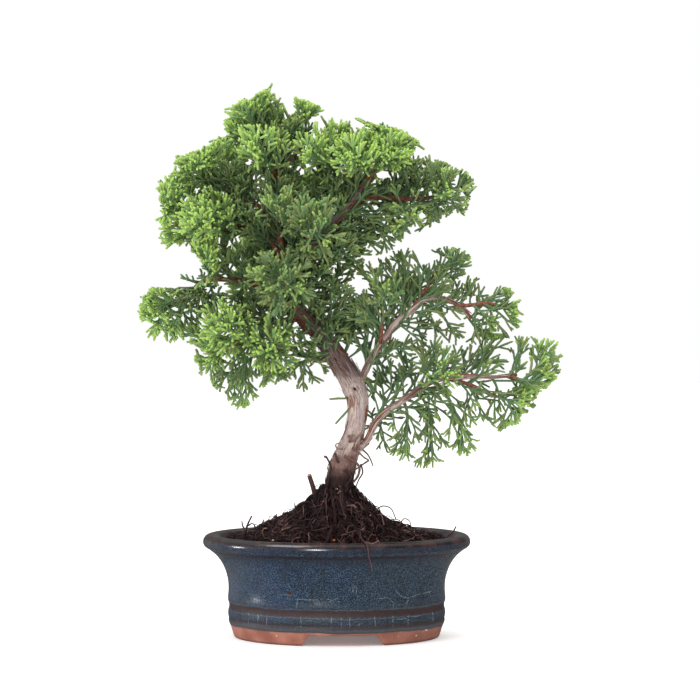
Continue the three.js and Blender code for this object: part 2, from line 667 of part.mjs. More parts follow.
for (const { spray, stem, share, face } of plans) {
  const k = Math.min(STEM_STEPS - 1, Math.floor(share * STEM_STEPS));
  const [from, to] = stem.points.slice(k, k + 2);
  const foot = from.clone().lerp(to, share * STEM_STEPS - k);
  const along = to.clone().sub(from).normalize();
  const chance = LENGTHS.least + LENGTHS.chance * draw();
  const length = lerp(NEEDLE_LENGTH.foot, NEEDLE_LENGTH.tip, share) * chance;
  const spread = lerp(SPREAD.foot, SPREAD.tip, share) + SPREAD.chance * draw();
  growNeedle(spray, foot, along, faceNormals(stem, k)[face], length, spread);
}

// ---------------------------------------------------------------- the plant
function finish(color, roughness, metalness = 0) {
  return new THREE.MeshStandardMaterial({ color, roughness, metalness });
}

const plant = new THREE.Group();

function add(name, geometry, material, place = [0, 0, 0]) {
  const mesh = new THREE.Mesh(geometry, material);
  mesh.name = name;
  mesh.position.set(...place);
  plant.add(mesh);
}

add('pot', geometryFrom(pot), finish('#3c4658', 0.3));
add('drain_screen_left', drainScreen(), finish('#2d3a2f', 0.7), [-DRAIN_X, 0, SCREEN_HEIGHT]);
add('drain_screen_right', drainScreen(), finish('#2d3a2f', 0.7), [DRAIN_X, 0, SCREEN_HEIGHT]);
add('soil', geometryFrom(soil), finish('#2b1d1a', 0.95));
add('trunk', geometryFrom(trunk), finish('#8d6a5c', 0.85));
for (const { node, solids } of sprays) {
  add(node, geometryFrom(fuse(solids)), finish('#5f8a45', 0.6));
}

const model = new THREE.Group();
model.add(plant);
model.updateMatrixWorld(true);
const box = new THREE.Box3().setFromObject(plant);
plant.position.set(-(box.min.x + box.max.x) / 2, -(box.min.y + box.max.y) / 2, -box.min.z);

export default model;
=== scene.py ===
# %% [markdown]
# # A juniper bonsai in an oval glazed pot
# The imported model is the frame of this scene: it holds the pot, the soil, the wood and one node for each
# leafy spray, at their real size. This script dresses that frame. Each piece stands where its node
# stands, and what the eye expects of a living juniper is added to it: the peeling bark, thousands of
# short scale-leaved cords, matted roots and a mottled glaze.

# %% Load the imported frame
import json
import math

import bmesh
import bpy
import numpy as np
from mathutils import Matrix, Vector, noise

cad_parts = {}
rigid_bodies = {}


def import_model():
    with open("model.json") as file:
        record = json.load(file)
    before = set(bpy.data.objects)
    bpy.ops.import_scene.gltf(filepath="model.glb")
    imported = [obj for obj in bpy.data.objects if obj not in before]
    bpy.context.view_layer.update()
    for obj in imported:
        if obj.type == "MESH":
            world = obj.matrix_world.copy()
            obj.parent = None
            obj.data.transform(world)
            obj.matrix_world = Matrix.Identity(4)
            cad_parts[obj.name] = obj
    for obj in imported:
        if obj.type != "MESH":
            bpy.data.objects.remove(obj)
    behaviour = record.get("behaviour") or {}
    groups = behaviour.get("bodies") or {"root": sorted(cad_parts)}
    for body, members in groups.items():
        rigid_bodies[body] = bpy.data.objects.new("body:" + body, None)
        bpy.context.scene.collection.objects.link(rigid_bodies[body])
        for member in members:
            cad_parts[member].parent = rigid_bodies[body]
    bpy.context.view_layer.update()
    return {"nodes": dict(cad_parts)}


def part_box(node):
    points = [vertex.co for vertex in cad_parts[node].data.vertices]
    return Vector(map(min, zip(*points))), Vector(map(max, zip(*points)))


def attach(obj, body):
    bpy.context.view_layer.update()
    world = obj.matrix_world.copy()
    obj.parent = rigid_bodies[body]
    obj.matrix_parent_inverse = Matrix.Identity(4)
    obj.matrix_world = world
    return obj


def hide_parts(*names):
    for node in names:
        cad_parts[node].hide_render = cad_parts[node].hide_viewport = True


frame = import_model()
print("nodes in the frame:", len(frame["nodes"]))

# %% [markdown]
# ## Rulers
# The tree and the pot were drawn in millimetres round the middle of the pot's foot, and the listed
# points are easiest to read in that way. The frame has its own origin, so every piece passes through
# one function that turns millimetres round the pot into metres in the frame.

# %% Millimetres round the pot's foot
MM = 0.001
UP = np.array([0.0, 0.0, 1.0])

pot_low, pot_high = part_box("pot")
HOME = np.array([(pot_low.x + pot_high.x) / 2, (pot_low.y + pot_high.y) / 2, 0.0])


def placed(points):
    """Points in millimetres round the pot's foot, as metres in the frame."""
    return np.asarray(points, float) * MM + HOME


def unit(vector):
    return vector / np.linalg.norm(vector)


def mix(a, b, share):
    return a + (b - a) * share


def smooth_step(value, low, high):
    t = np.clip((value - low) / (high - low), 0, 1)
    return t * t * (3 - 2 * t)


print("pot's foot stands at", HOME.round(5).tolist())

# %% [markdown]
# ## Camera
# A long lens far away sees the tree almost without perspective, yet looks a little down into the
# pot's mouth. The distance, the height and the tilt come from the rim's ellipse and from where level
# lines would meet.

# %% The camera
CAMERA_DISTANCE = 1480
CAMERA_HEIGHT = 206.5
CAMERA_ASIDE = 8
CAMERA_TILT = math.radians(1.344)
FOCAL_PIXELS = 2471
PICTURE_PIXELS = 700

lens = bpy.data.cameras.new("camera")
lens.sensor_width = 36
lens.lens = lens.sensor_width * FOCAL_PIXELS / PICTURE_PIXELS
camera = bpy.data.objects.new("camera", lens)
camera.location = placed([CAMERA_ASIDE, -CAMERA_DISTANCE, CAMERA_HEIGHT])
camera.rotation_euler = (math.pi / 2 - CAMERA_TILT, 0, 0)
bpy.context.scene.collection.objects.link(camera)
bpy.context.scene.camera = camera
print("lens", round(lens.lens, 1), "mm")

# %% [markdown]
# ## Helpers for node trees
# A material is a graph of small steps. Written node by node it takes hundreds of lines, so one class
# holds a tree and adds a node in one call, and another wraps an output socket so that sums on it read
# as sums. The same two classes serve the geometry trees further on.

# %% A tree of nodes, and wires that can be added and multiplied
class Wire:
    """An output socket that takes part in arithmetic: each operation adds one Math node."""

    def __init__(self, tree, socket):
        self.tree = tree
        self.socket = socket

    def math(self, operation, *operands):
        return self.tree.node("ShaderNodeMath", {"operation": operation}, dict(enumerate(operands)))

    def __add__(self, other):
        return self.math("ADD", self, other)

    def __radd__(self, other):
        return self.math("ADD", other, self)

    def __sub__(self, other):
        return self.math("SUBTRACT", self, other)

    def __rsub__(self, other):
        return self.math("SUBTRACT", other, self)

    def __mul__(self, other):
        return self.math("MULTIPLY", self, other)

    def __rmul__(self, other):
        return self.math("MULTIPLY", other, self)

    def __truediv__(self, other):
        return self.math("DIVIDE", self, other)

    def absolute(self):
        return self.math("ABSOLUTE", self)

    def step(self, low, high):
        """0 below low, 1 above high and an even slope between; low may lie above high."""
        settings = {"interpolation_type": "SMOOTHSTEP"}
        return self.tree.node("ShaderNodeMapRange", settings, {0: self, 1: low, 2: high, 3: 0.0, 4: 1.0})


class Tree:
    """A node tree to which nodes are added in one call each."""

    def __init__(self, tree):
        self.tree = tree

    def node(self, kind, settings=None, inputs=None, output=0):
        made = self.tree.nodes.new(kind)
        for name, value in (settings or {}).items():
            if name == "stops":
                self.set_stops(made.color_ramp.elements, value)
            else:
                setattr(made, name, value)
        for key, value in (inputs or {}).items():
            if isinstance(value, Wire):
                self.tree.links.new(value.socket, made.inputs[key])
            else:
                made.inputs[key].default_value = value
        return Wire(self, made.outputs[output]) if made.outputs else made

    @staticmethod
    def set_stops(elements, stops):
        while len(elements) < len(stops):
            elements.new(0.5)
        for element, (position, colour) in zip(elements, stops):
            element.position = position
            element.color = (*colour, 1)


class Finish(Tree):
    """A material whose pattern is drawn in millimetres round the pot's foot."""

    def __init__(self, name):
        self.material = bpy.data.materials.new(name)
        self.material.use_nodes = True
        super().__init__(self.material.node_tree)
        self.tree.nodes.clear()
        place = self.node("ShaderNodeTexCoord", output="Object")
        centred = self.vector("SUBTRACT", place, tuple(HOME))
        self.place = self.vector("SCALE", centred, scale=1 / MM)

    def vector(self, operation, a, b=None, scale=None):
        inputs = {0: a}
        if b is not None:
            inputs[1] = b
        if scale is not None:
            inputs[3] = scale
        return self.node("ShaderNodeVectorMath", {"operation": operation}, inputs)

    def axis(self, vector, name):
        return self.node("ShaderNodeSeparateXYZ", None, {0: vector}, name)

    def combine(self, x, y, z):
        return self.node("ShaderNodeCombineXYZ", None, {0: x, 1: y, 2: z})

    def attribute(self, name, output="Fac"):
        return self.node("ShaderNodeAttribute", {"attribute_name": name}, None, output)

    def noise(self, scale, detail=2.0, roughness=0.5, distortion=0.0, at=None):
        """Even cloudy noise from 0 to 1; scale is in waves to a millimetre."""
        inputs = {"Vector": at or self.place, "Scale": scale, "Detail": detail, "Roughness": roughness,
                  "Distortion": distortion}
        return self.node("ShaderNodeTexNoise", None, inputs)

    def cells(self, scale):
        """Distance to the nearest of many scattered points; scale is in points to a millimetre."""
        return self.node("ShaderNodeTexVoronoi", None, {"Vector": self.place, "Scale": scale}, "Distance")

    def blend(self, share, a, b):
        """Colour a where share is 0 and colour b where it is 1."""
        a, b = [(*c, 1) if isinstance(c, tuple) else c for c in (a, b)]
        return self.node("ShaderNodeMix", {"data_type": "RGBA"}, {0: share, 6: a, 7: b}, 2)

    def bump(self, height, distance, strength=1.0):
        """Height from 0 to 1 over a distance in millimetres."""
        return self.node("ShaderNodeBump", None, {"Height": height, "Distance": distance * MM,
                                                  "Strength": strength})

    def shade(self, **sockets):
        """Ends the tree in one shader; words with _ stand for the shader's own names."""
        inputs = {name.replace("_", " "): value for name, value in sockets.items()}
        surface = self.node("ShaderNodeBsdfPrincipled", None, inputs)
        self.node("ShaderNodeOutputMaterial", None, {"Surface": surface})
        return self.material


def srgb(red, green, blue):
    """A colour as a screen shows it, 0 to 255, as the linear light that a shader works in."""
    return tuple(c / 12.92 if c <= 0.04045 else ((c + 0.055) / 1.055) ** 2.4
                 for c in (red / 255, green / 255, blue / 255))


# %% [markdown]
# ## Studio
# The plant was lit softly from all round, a little more from the upper left, in a room whose walls the
# glaze hardly mirrors. The sky therefore answers each kind of ray in its own way: plain white for the
# camera, a white room for the light on leaves and clay, and a dim one for mirrored light, so that the
# glaze keeps its depth. The floor is one pale sheet that mirrored light passes by as well.

# %% Floor, room and lamps
FLOOR_HALF = 4.0
FLOOR_GLOW = 0.16
ROOM_LEVEL = 1.0
ROOM_TOP = 0.16
MIRROR_LEVEL = 0.16
MIRROR_TOP = 0.7
MIRROR_LEFT = 0.3
LAMP_TARGET = (0.0, 0.0, 0.17)


def make_floor():
    finish = Finish("pale_floor")
    tint = finish.blend(finish.noise(0.004), srgb(251, 251, 250), srgb(253, 253, 253))
    material = finish.shade(Base_Color=tint, Roughness=0.9, Emission_Color=tint,
                            Emission_Strength=FLOOR_GLOW)
    mesh = bpy.data.meshes.new("floor")
    corners = [(-FLOOR_HALF, -FLOOR_HALF, 0), (FLOOR_HALF, -FLOOR_HALF, 0),
               (FLOOR_HALF, FLOOR_HALF, 0), (-FLOOR_HALF, FLOOR_HALF, 0)]
    mesh.from_pydata(corners, [], [(0, 1, 2, 3)])
    mesh.materials.append(material)
    floor = bpy.data.objects.new("floor", mesh)
    floor.visible_glossy = False
    bpy.context.scene.collection.objects.link(floor)


def make_room():
    """A sky that is white for the camera, bright for soft light and dim at eye level for mirrored light."""
    room = bpy.data.worlds.new("room")
    room.use_nodes = True
    room.node_tree.nodes.clear()
    tree = Tree(room.node_tree)
    way = tree.node("ShaderNodeTexCoord", output="Generated")
    x, z = [tree.node("ShaderNodeSeparateXYZ", None, {0: way}, name) for name in "XZ"]
    soft = ROOM_LEVEL + z.step(0.2, 0.9) * ROOM_TOP
    mirrored = MIRROR_LEVEL + z.step(0.4, 0.9) * MIRROR_TOP + x.step(-0.35, -0.95) * MIRROR_LEFT
    sees = tree.node("ShaderNodeLightPath", output="Is Camera Ray")
    mirrors = tree.node("ShaderNodeLightPath", output="Is Glossy Ray")
    strength = soft + mirrors * (mirrored - soft)
    strength = strength + sees * (1.0 - strength)
    surface = tree.node("ShaderNodeBackground", None, {"Color": (1, 1, 1, 1), "Strength": strength})
    tree.node("ShaderNodeOutputWorld", None, {"Surface": surface})
    bpy.context.scene.world = room


def make_lamp(name, place, size, power, lights=True, mirrored=True):
    light = bpy.data.lights.new(name, "AREA")
    light.shape = "SQUARE"
    light.size = size
    light.energy = power
    lamp = bpy.data.objects.new(name, light)
    lamp.location = place
    lamp.visible_diffuse = lights
    lamp.visible_glossy = mirrored
    lamp.rotation_euler = (Vector(LAMP_TARGET) - Vector(place)).to_track_quat("-Z", "Y").to_euler()
    bpy.context.scene.collection.objects.link(lamp)


make_floor()
make_room()
make_lamp("key", (-1.0, -1.1, 1.6), 0.9, 16)
make_lamp("top", (0.2, 0.3, 1.9), 1.2, 14, mirrored=False)
make_lamp("window", (-0.42, -1.73, 0.33), 0.24, 6.0, lights=False)
make_lamp("far_window", (-1.74, -0.38, 0.17), 0.26, 5.0, lights=False)
bpy.context.scene.view_settings.view_transform = "Standard"

# %% [markdown]
# ## Making a piece
# Every piece below is a plain mesh in the frame's own place, with smooth faces and a finish, and it
# rides on the one body that this object has.

# %% From points and faces to a piece
pieces_made = []


def plain_mesh(name, points, faces, attributes=None):
    """A mesh in millimetres round the pot, moved to its place, with named values at its points."""
    mesh = bpy.data.meshes.new(name)
    mesh.from_pydata(placed(points).tolist(), [], [tuple(face) for face in faces])
    for key, values in (attributes or {}).items():
        set_attribute(mesh, key, values)
    return mesh


def set_attribute(mesh, key, values):
    values = np.asarray(values, np.float32)
    kind, field = ("FLOAT_VECTOR", "vector") if values.ndim == 2 else ("FLOAT", "value")
    mesh.attributes.new(key, kind, "POINT").data.foreach_set(field, values.ravel())


def linked(name, mesh):
    piece = bpy.data.objects.new(name, mesh)
    bpy.context.scene.collection.objects.link(piece)
    return piece


def finished(piece, material, replaced=()):
    """Gives a piece its finish, hides the frame parts that it replaces and adds it to the pieces made."""
    piece.data.materials.clear()
    piece.data.materials.append(material)
    piece.data.shade_smooth()
    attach(piece, "root")
    if replaced:
        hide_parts(*replaced)
    pieces_made.append(piece.name)
    return piece


def settled(piece):
    """The piece with its modifiers worked out, as a plain mesh."""
    graph = bpy.context.evaluated_depsgraph_get()
    done = bpy.data.meshes.new_from_object(piece.evaluated_get(graph))
    piece.modifiers.clear()
    old = piece.data
    piece.data = done
    bpy.data.meshes.remove(old)
    return piece


def triangles(piece):
    return sum(len(face.vertices) - 2 for face in piece.data.polygons)


# %% [markdown]
# ## Pot: form
# The pot was pressed and turned in one piece: an oval bowl with a flared wall, a rolled lip, two
# grooves round its lower band and a foot ring that an arch cuts into two feet. A profile swept round
# the oval gives all of that but the arch. Cutting the arch with a boolean would leave sharp edges, so
# the lower end of the profile is lifted instead wherever the arch is, and the clay stays soft.

# %% The pot's profile
POT_RATIO = 0.75
POT_SIDES = 360
FLOOR_BOTTOM = 7.0
FLOOR_TOP = 13.0
FOOT_ARCH = {"left": -21.0, "right": 28.5, "height": 6.0, "slant": 5.5}
DRAIN_X = 28
DRAIN_RADIUS = 6.5

# Half-length against height, from the middle of the underside round to the middle of the floor.
POT_PROFILE = [
    (2, 7), (30, 7), (46, 7), (50.4, 6.8), (51.6, 5.6), (52.4, 2), (53, 0.6), (54.2, 0), (57.5, 0),
    (60.2, 0), (61.4, 0.5), (62.1, 2), (62.9, 4.6), (63.8, 7.2), (64.5, 8.6), (64.9, 10.2), (64.8, 11.2),
    (64.7, 11.9), (65.0, 12.8), (65.2, 14.6), (65.1, 16.4), (64.7, 17.6), (64.5, 19.2), (64.7, 20.6),
    (65.2, 22), (65.3, 24), (65, 28), (65.1, 33), (66, 37.6), (67.4, 41.6), (69.4, 45.4), (71.8, 48.6),
    (74.2, 50.9), (75.7, 52), (76.2, 52.6), (77.4, 53.2), (78.9, 54.2), (79.9, 55.5), (80.2, 56.9),
    (80, 58.4), (79.4, 59.7), (78.3, 60.8), (76.8, 61.4), (74.9, 61.5), (72.6, 61.3), (71, 60.8),
    (69.9, 59.6), (69.1, 57.8), (67.2, 52.4), (64.6, 46), (61.4, 37), (59.2, 30), (57.6, 16.5), (56.2, 14),
    (53.6, 13.1), (46, 13), (30, 13), (2, 13),
]


def rounded_profile(points, turns=3):
    """The profile with a point added between each two, on a smooth curve through their neighbours."""
    points = np.array(points, float)
    padded = np.vstack([2 * points[0] - points[1], points, 2 * points[-1] - points[-2]])
    rows = []
    for k in range(1, len(padded) - 2):
        before, a, b, after = padded[k - 1:k + 3]
        for share in np.arange(turns) / turns:
            s2, s3 = share ** 2, share ** 3
            rows.append(0.5 * (2 * a + (b - before) * share + (2 * before - 5 * a + 4 * b - after) * s2
                               + (3 * a - before - 3 * b + after) * s3))
    rows.append(points[-1])
    return np.array(rows)


def arch_lift(x):
    """How far the foot ring is cut away from below, at a place along the pot."""
    arch = FOOT_ARCH
    rise = smooth_step(x, arch["left"], arch["left"] + arch["slant"])
    fall = 1 - smooth_step(x, arch["right"] - arch["slant"], arch["right"])
    return arch["height"] * rise * fall


def make_pot():
    profile = rounded_profile(POT_PROFILE)
    angles = np.arange(POT_SIDES) * 2 * math.pi / POT_SIDES
    rows = []
    for half_length, height in profile:
        x = half_length * np.cos(angles)
        y = half_length * POT_RATIO * np.sin(angles)
        z = np.full(POT_SIDES, height)
        if height < FLOOR_BOTTOM and half_length > 50:
            z = height + arch_lift(x) * (1 - height / FLOOR_BOTTOM)
        rows.append(np.stack([x, y, z], 1))
    points = np.vstack(rows)
    return linked("glazed_pot", plain_mesh("glazed_pot", points, capped_rings(len(profile), POT_SIDES)))


def ring_faces(rows, sides):
    """The faces between rings of the same number of points, one ring after another."""
    faces = []
    for k in range(rows - 1):
        for i in range(sides):
            j = (i + 1) % sides
            faces.append([k * sides + i, k * sides + j, (k + 1) * sides + j, (k + 1) * sides + i])
    return faces


def capped_rings(rows, sides):
    """The faces between rings, closed by one face over the first ring and one over the last."""
    last = (rows - 1) * sides
    return ring_faces(rows, sides) + [list(range(sides))[::-1], list(range(last, last + sides))]


def drill(piece, x, radius, low, high):
    """A round hole down through a piece."""
    tool = bpy.data.meshes.new("drill")
    cutter = bmesh.new()
    bmesh.ops.create_cone(cutter, cap_ends=True, segments=48, radius1=radius * MM, radius2=radius * MM,
                          depth=(high - low) * MM)
    bmesh.ops.translate(cutter, verts=cutter.verts, vec=placed([x, 0, (low + high) / 2]))
    cutter.to_mesh(tool)
    cutter.free()
    bit = linked("drill", tool)
    cut = piece.modifiers.new("hole", "BOOLEAN")
    cut.operation = "DIFFERENCE"
    cut.object = bit
    settled(piece)
    bpy.data.objects.remove(bit)


pot = make_pot()
for side in (-DRAIN_X, DRAIN_X):
    drill(pot, side, DRAIN_RADIUS, FLOOR_BOTTOM - 3, FLOOR_TOP + 3)
print("pot:", triangles(pot), "triangles")

# %% [markdown]
# ## Pot: glaze and clay
# The glaze is one dark blue, broken by a fine pale speckle. It ran thin over edges and in the grooves,
# where the brown body shows through it, and it stops above the foot, which is bare red clay. Height
# bands say where each of these lies, and noise bends the bands so that none is a ruled line.

# %% The pot's finish
GLAZE_END = 7.8
GROOVE_LOW = 11.7
GROOVE_HIGH = 19.2
UNDER_LIP = 52.8
LIP_TOP = 58.6
# Marks on the front of the wall, in millimetres: the x and z of each corner of a crack, the x of each
# tick, then the x and z of the middle and a half-width.
CRACKS = [
    [(-32.6, 30.1), (-22.9, 30)], [(-22.9, 22.5), (-22.8, 27.7), (-9.9, 27.6)], [(-5.1, 28.1), (2.2, 26.8)],
    [(-4.2, 26.7), (1.1, 28.9)], [(7.1, 33.4), (8.2, 34.8)], [(9.6, 35.4), (9.9, 32.2)],
    [(12, 35.2), (11.6, 32)], [(6.6, 31.4), (7.6, 30.6)],
    [(24.9, 28.1), (29, 28.6), (32.2, 27.2), (33.8, 22.4)],
    [(34.6, 32.1), (38.7, 28.5), (42.1, 27.2), (46.4, 28.9), (56, 29.7)], [(42.1, 27.2), (40.5, 22.4)],
    [(54.5, 29.7), (56, 26.4)], [(-19, 15.2), (-14.5, 15.3)], [(33, 15.4), (41, 15.6)],
    [(42, 16.4), (49, 16.2)],
]
TICKS = [-52, -46, -40.6, -20.5, -2.6, 3, 7.9, 13.6, 22.5, 33, 42, 57]
BROWN_SPOT = (-27, 31, 1.2)
PALE_CHIPS = [(53, 7.4, 0.9), (47, 4.5, 0.5), (-35, 5.5, 0.5), (2.5, 21.5, 1.2)]


def patch_mask(x, z, middle_x, middle_z, half_x, half_z):
    """1 inside an oval on the wall and 0 outside it, with a soft edge."""
    u, v = (x - middle_x) / half_x, (z - middle_z) / half_z
    return (u * u + v * v).step(1.1, 0.7)


def extreme(wires, operation="MAXIMUM"):
    top = wires[0]
    for wire in wires[1:]:
        top = top.math(operation, top, wire)
    return top


def away_from_crack(x, z, start, end):
    """Distance on the wall from a straight crack, seen from the front."""
    (x1, z1), (x2, z2) = start, end
    across, up = x2 - x1, z2 - z1
    u, v = x - x1, z - z1
    share = (u * across + v * up) / (across * across + up * up)
    share = share.math("MINIMUM", share.math("MAXIMUM", share, 0.0), 1.0)
    u, v = u - share * across, v - share * up
    return u.math("SQRT", u * u + v * v)


def pot_finish():
    finish = Finish("blue_glaze_on_clay")
    x, y, level = [finish.axis(finish.place, name) for name in "XYZ"]
    z = level + (finish.noise(0.05, 3.0) - 0.5) * 2.4
    front = y.step(-2, -6)
    clouds = finish.noise(0.035, 3.0, 0.6)
    speckle = finish.noise(2.2, 3.0, 0.7)
    pepper = finish.noise(2.5, 2.0)
    drips = finish.noise(0.25, 3.0, at=finish.combine(x, y, level * 0.12))

    blue = finish.blend(clouds.step(0.4, 0.6), srgb(26, 43, 61), srgb(26, 46, 78))
    blue = finish.blend(x.step(-45, 62) * 0.85, blue, srgb(42, 47, 54))
    blue = finish.blend(speckle.step(0.48, 0.62) * 0.78, blue, srgb(96, 121, 138))
    blue = finish.blend(pepper.step(0.46, 0.58) * 0.95, blue, srgb(9, 12, 23))
    blue = finish.blend(drips.step(0.5, 0.7) * 0.4, blue, srgb(36, 32, 36))
    blue = finish.blend(z.step(12, 9) * 0.6, blue, srgb(84, 84, 86))
    lip_shadow = level.step(UNDER_LIP - 7, UNDER_LIP - 1) * level.step(UNDER_LIP + 1.5, UNDER_LIP)
    blue = finish.blend(lip_shadow * 0.5, blue, srgb(30, 28, 34))

    brown = finish.blend(finish.noise(0.5, 4.0), srgb(40, 22, 24), srgb(72, 46, 44))
    dusk = finish.noise(0.16, 3.0).step(0.36, 0.6)
    low_groove = (z - GROOVE_LOW).absolute().step(2.0, 0.7) * (0.35 + clouds * 0.5)
    high_groove = (z - GROOVE_HIGH).absolute().step(2.2, 1.2)
    # The dark line under the lip is partly brown glaze and partly painted shadow cast by the rolled lip.
    lip_line_and_shadow = (level - UNDER_LIP).absolute().step(1.6, 0.4)
    rim = z.step(LIP_TOP - 1.2, LIP_TOP + 0.4)
    thin = extreme([low_groove, high_groove, rim])
    # Painted highlight: thin pale lines along the two edges of the high groove, blended in below.
    edge = extreme([(z - GROOVE_HIGH - 2.5).absolute().step(0.45, 0.1),
                    (z - GROOVE_HIGH + 2.6).absolute().step(0.4, 0.1)])
    glaze = finish.blend(thin, blue, finish.blend(rim * dusk, brown, srgb(19, 14, 22)))
    # Painted shade: the front of the lip's roll is darkened where it faces away from the light.
    glaze = finish.blend(level.step(54, 55.5) * level.step(58.6, 57.4) * 0.45, glaze, srgb(30, 26, 34))
    glaze = finish.blend(edge * 0.25, glaze, srgb(110, 104, 106))
    glaze = finish.blend(lip_line_and_shadow * 0.65, glaze, srgb(34, 21, 24))

    shake = (finish.noise(0.4, 2.0) - 0.5) * 1.6
    bent_x, bent_z = x + shake, level + (finish.noise(0.5, 2.0, at=finish.combine(z, x, 3.0)) - 0.5) * 1.4
    segments = [pair for crack in CRACKS for pair in zip(crack, crack[1:])]
    crack_distances = [away_from_crack(bent_x, bent_z, *pair) for pair in segments]
    cracks = extreme(crack_distances, "MINIMUM").step(0.17, 0.04)
    cracks = cracks * finish.noise(0.9, 2.0).step(0.4, 0.56)
    ticks = extreme([(bent_x - tick).absolute().step(0.2, 0.05) for tick in TICKS])
    ticks = ticks * level.step(10.8, 12.4) * level.step(18.2, 16.8) * finish.noise(0.3, 1.0).step(0.38, 0.5)
    glaze = finish.blend(extreme([cracks, ticks * 0.8]) * front * 0.55, glaze, srgb(166, 178, 186))
    spot_x, spot_z, spot_size = BROWN_SPOT
    glaze = finish.blend(patch_mask(x, level, spot_x, spot_z, spot_size, spot_size) * front, glaze,
                         srgb(58, 36, 26))

    clay = finish.blend(finish.noise(0.09, 4.0).step(0.3, 0.7), srgb(140, 86, 72), srgb(176, 116, 98))
    # Painted shade: the bare clay is darker towards the right, away from the key light.
    clay = finish.blend(x.step(-20, 62) * 0.65, clay, srgb(118, 76, 62))
    clay = finish.blend(finish.noise(1.3, 3.0).step(0.58, 0.75) * 0.5, clay, srgb(104, 62, 50))
    clay = finish.blend(finish.noise(0.5, 3.0).step(0.64, 0.74) * 0.4, clay, srgb(198, 152, 132))
    # Painted shadow: the clay darkens within 2 mm of its underside, where the foot meets the floor.
    clay = finish.blend(level.step(1.9, 0.1) * 0.7, clay, srgb(74, 48, 40))
    chips = extreme([patch_mask(x, level, cx, cz, size, size * 0.8) for cx, cz, size in PALE_CHIPS])
    clay = finish.blend(chips * front, clay, srgb(206, 178, 158))
    bare = z.step(GLAZE_END + 0.5, GLAZE_END - 0.5)
    seam = (z - GLAZE_END - 0.5).absolute().step(0.8, 0.2)
    colour = finish.blend(bare, glaze, clay)
    colour = finish.blend(seam * 0.6, colour, srgb(66, 56, 56))

    grain = finish.noise(2.2, 3.0) * bare + (finish.noise(0.3, 2.0) + speckle * 0.25) * (1 - bare) * 0.5
    return finish.shade(
        Base_Color=colour,
        Roughness=0.14 + bare * 0.65 + thin * 0.08 + speckle * 0.06 + level.step(27, 21) * 0.3,
        Coat_Weight=(1 - bare) * level.step(19, 27) * 0.35,
        Coat_Roughness=0.1,
        Normal=finish.bump(grain, 0.3, 0.6),
    )


finished(pot, pot_finish(), ["pot"])
print("pot is glazed")

# %% [markdown]
# ## Drain screens
# Two squares of plastic mesh lie on the drain holes, under the soil. Their shape in the frame is right
# as it is, so they keep it and only get the look of moulded plastic.

# %% The drain screens' finish
def screen_finish():
    finish = Finish("green_plastic_mesh")
    colour = finish.blend(finish.noise(0.8, 3.0), srgb(34, 52, 40), srgb(52, 70, 54))
    return finish.shade(Base_Color=colour, Roughness=0.45 + finish.noise(1.5) * 0.2,
                        Normal=finish.bump(finish.noise(3.0, 2.0), 0.1, 0.4))


plastic = screen_finish()
for name in ("drain_screen_left", "drain_screen_right"):
    screen = frame["nodes"][name]
    screen.data.materials.clear()
    screen.data.materials.append(plastic)
print("screens done")

# %% [markdown]
# ## Curves
# A limb follows a few listed points along its middle. The frame joined them with a centripetal
# curve, which never overshoots, so the same curve is used here: the bark then lies where the frame's
# wood is.

# %% A smooth route through chosen points
def run_length(points):
    """Length of the way from point to point."""
    return np.linalg.norm(np.diff(points, axis=0), axis=1).sum()


class Route:
    """A centripetal curve through points, read by a share of its length from 0 to 1."""

    def __init__(self, points):
        points = np.array(points, float)
        self.spans = len(points) - 1
        self.points = np.vstack([2 * points[0] - points[1], points, 2 * points[-1] - points[-2]])

    def at(self, share):
        place = share * self.spans
        k = min(int(place), self.spans - 1)
        t = place - k
        p0, p1, p2, p3 = self.points[k:k + 4]
        g0, g1, g2 = [np.linalg.norm(b - a) ** 0.5 for a, b in ((p0, p1), (p1, p2), (p2, p3))]
        m1 = ((p1 - p0) / g0 - (p2 - p0) / (g0 + g1) + (p2 - p1) / g1) * g1
        m2 = ((p2 - p1) / g1 - (p3 - p1) / (g1 + g2) + (p3 - p2) / g2) * g1
        return p1 + m1 * t + (3 * (p2 - p1) - 2 * m1 - m2) * t ** 2 + (2 * (p1 - p2) + m1 + m2) * t ** 3

    def along(self, share, reach=1e-4):
        return unit(self.at(min(1, share + reach)) - self.at(max(0, share - reach)))

    def sampled(self, steps):
        return np.array([self.at(k / steps) for k in range(steps + 1)])


class Bow:
    """A curve of one bend from a foot over a knee to a tip."""

    def __init__(self, foot, knee, tip):
        self.foot = foot
        self.knee = knee
        self.tip = tip

    def at(self, share):
        rest = 1 - share
        return rest ** 2 * self.foot + 2 * rest * share * self.knee + share ** 2 * self.tip

    def along(self, share):
        return unit((1 - share) * (self.knee - self.foot) + share * (self.tip - self.knee))

    def between(self, start, end, steps):
        return np.array([self.at(mix(start, end, k / steps)) for k in range(steps + 1)])

    def length(self, steps=200):
        return run_length(self.between(0, 1, steps))


print("a limb's curve and a spray's bow are ready")

# %% [markdown]
# ## Limbs
# This list is the skeleton of the tree: the radius of each limb at its foot and tip, and the points
# along its middle. The trunk leans, curves back, and breaks up into a few long arms.

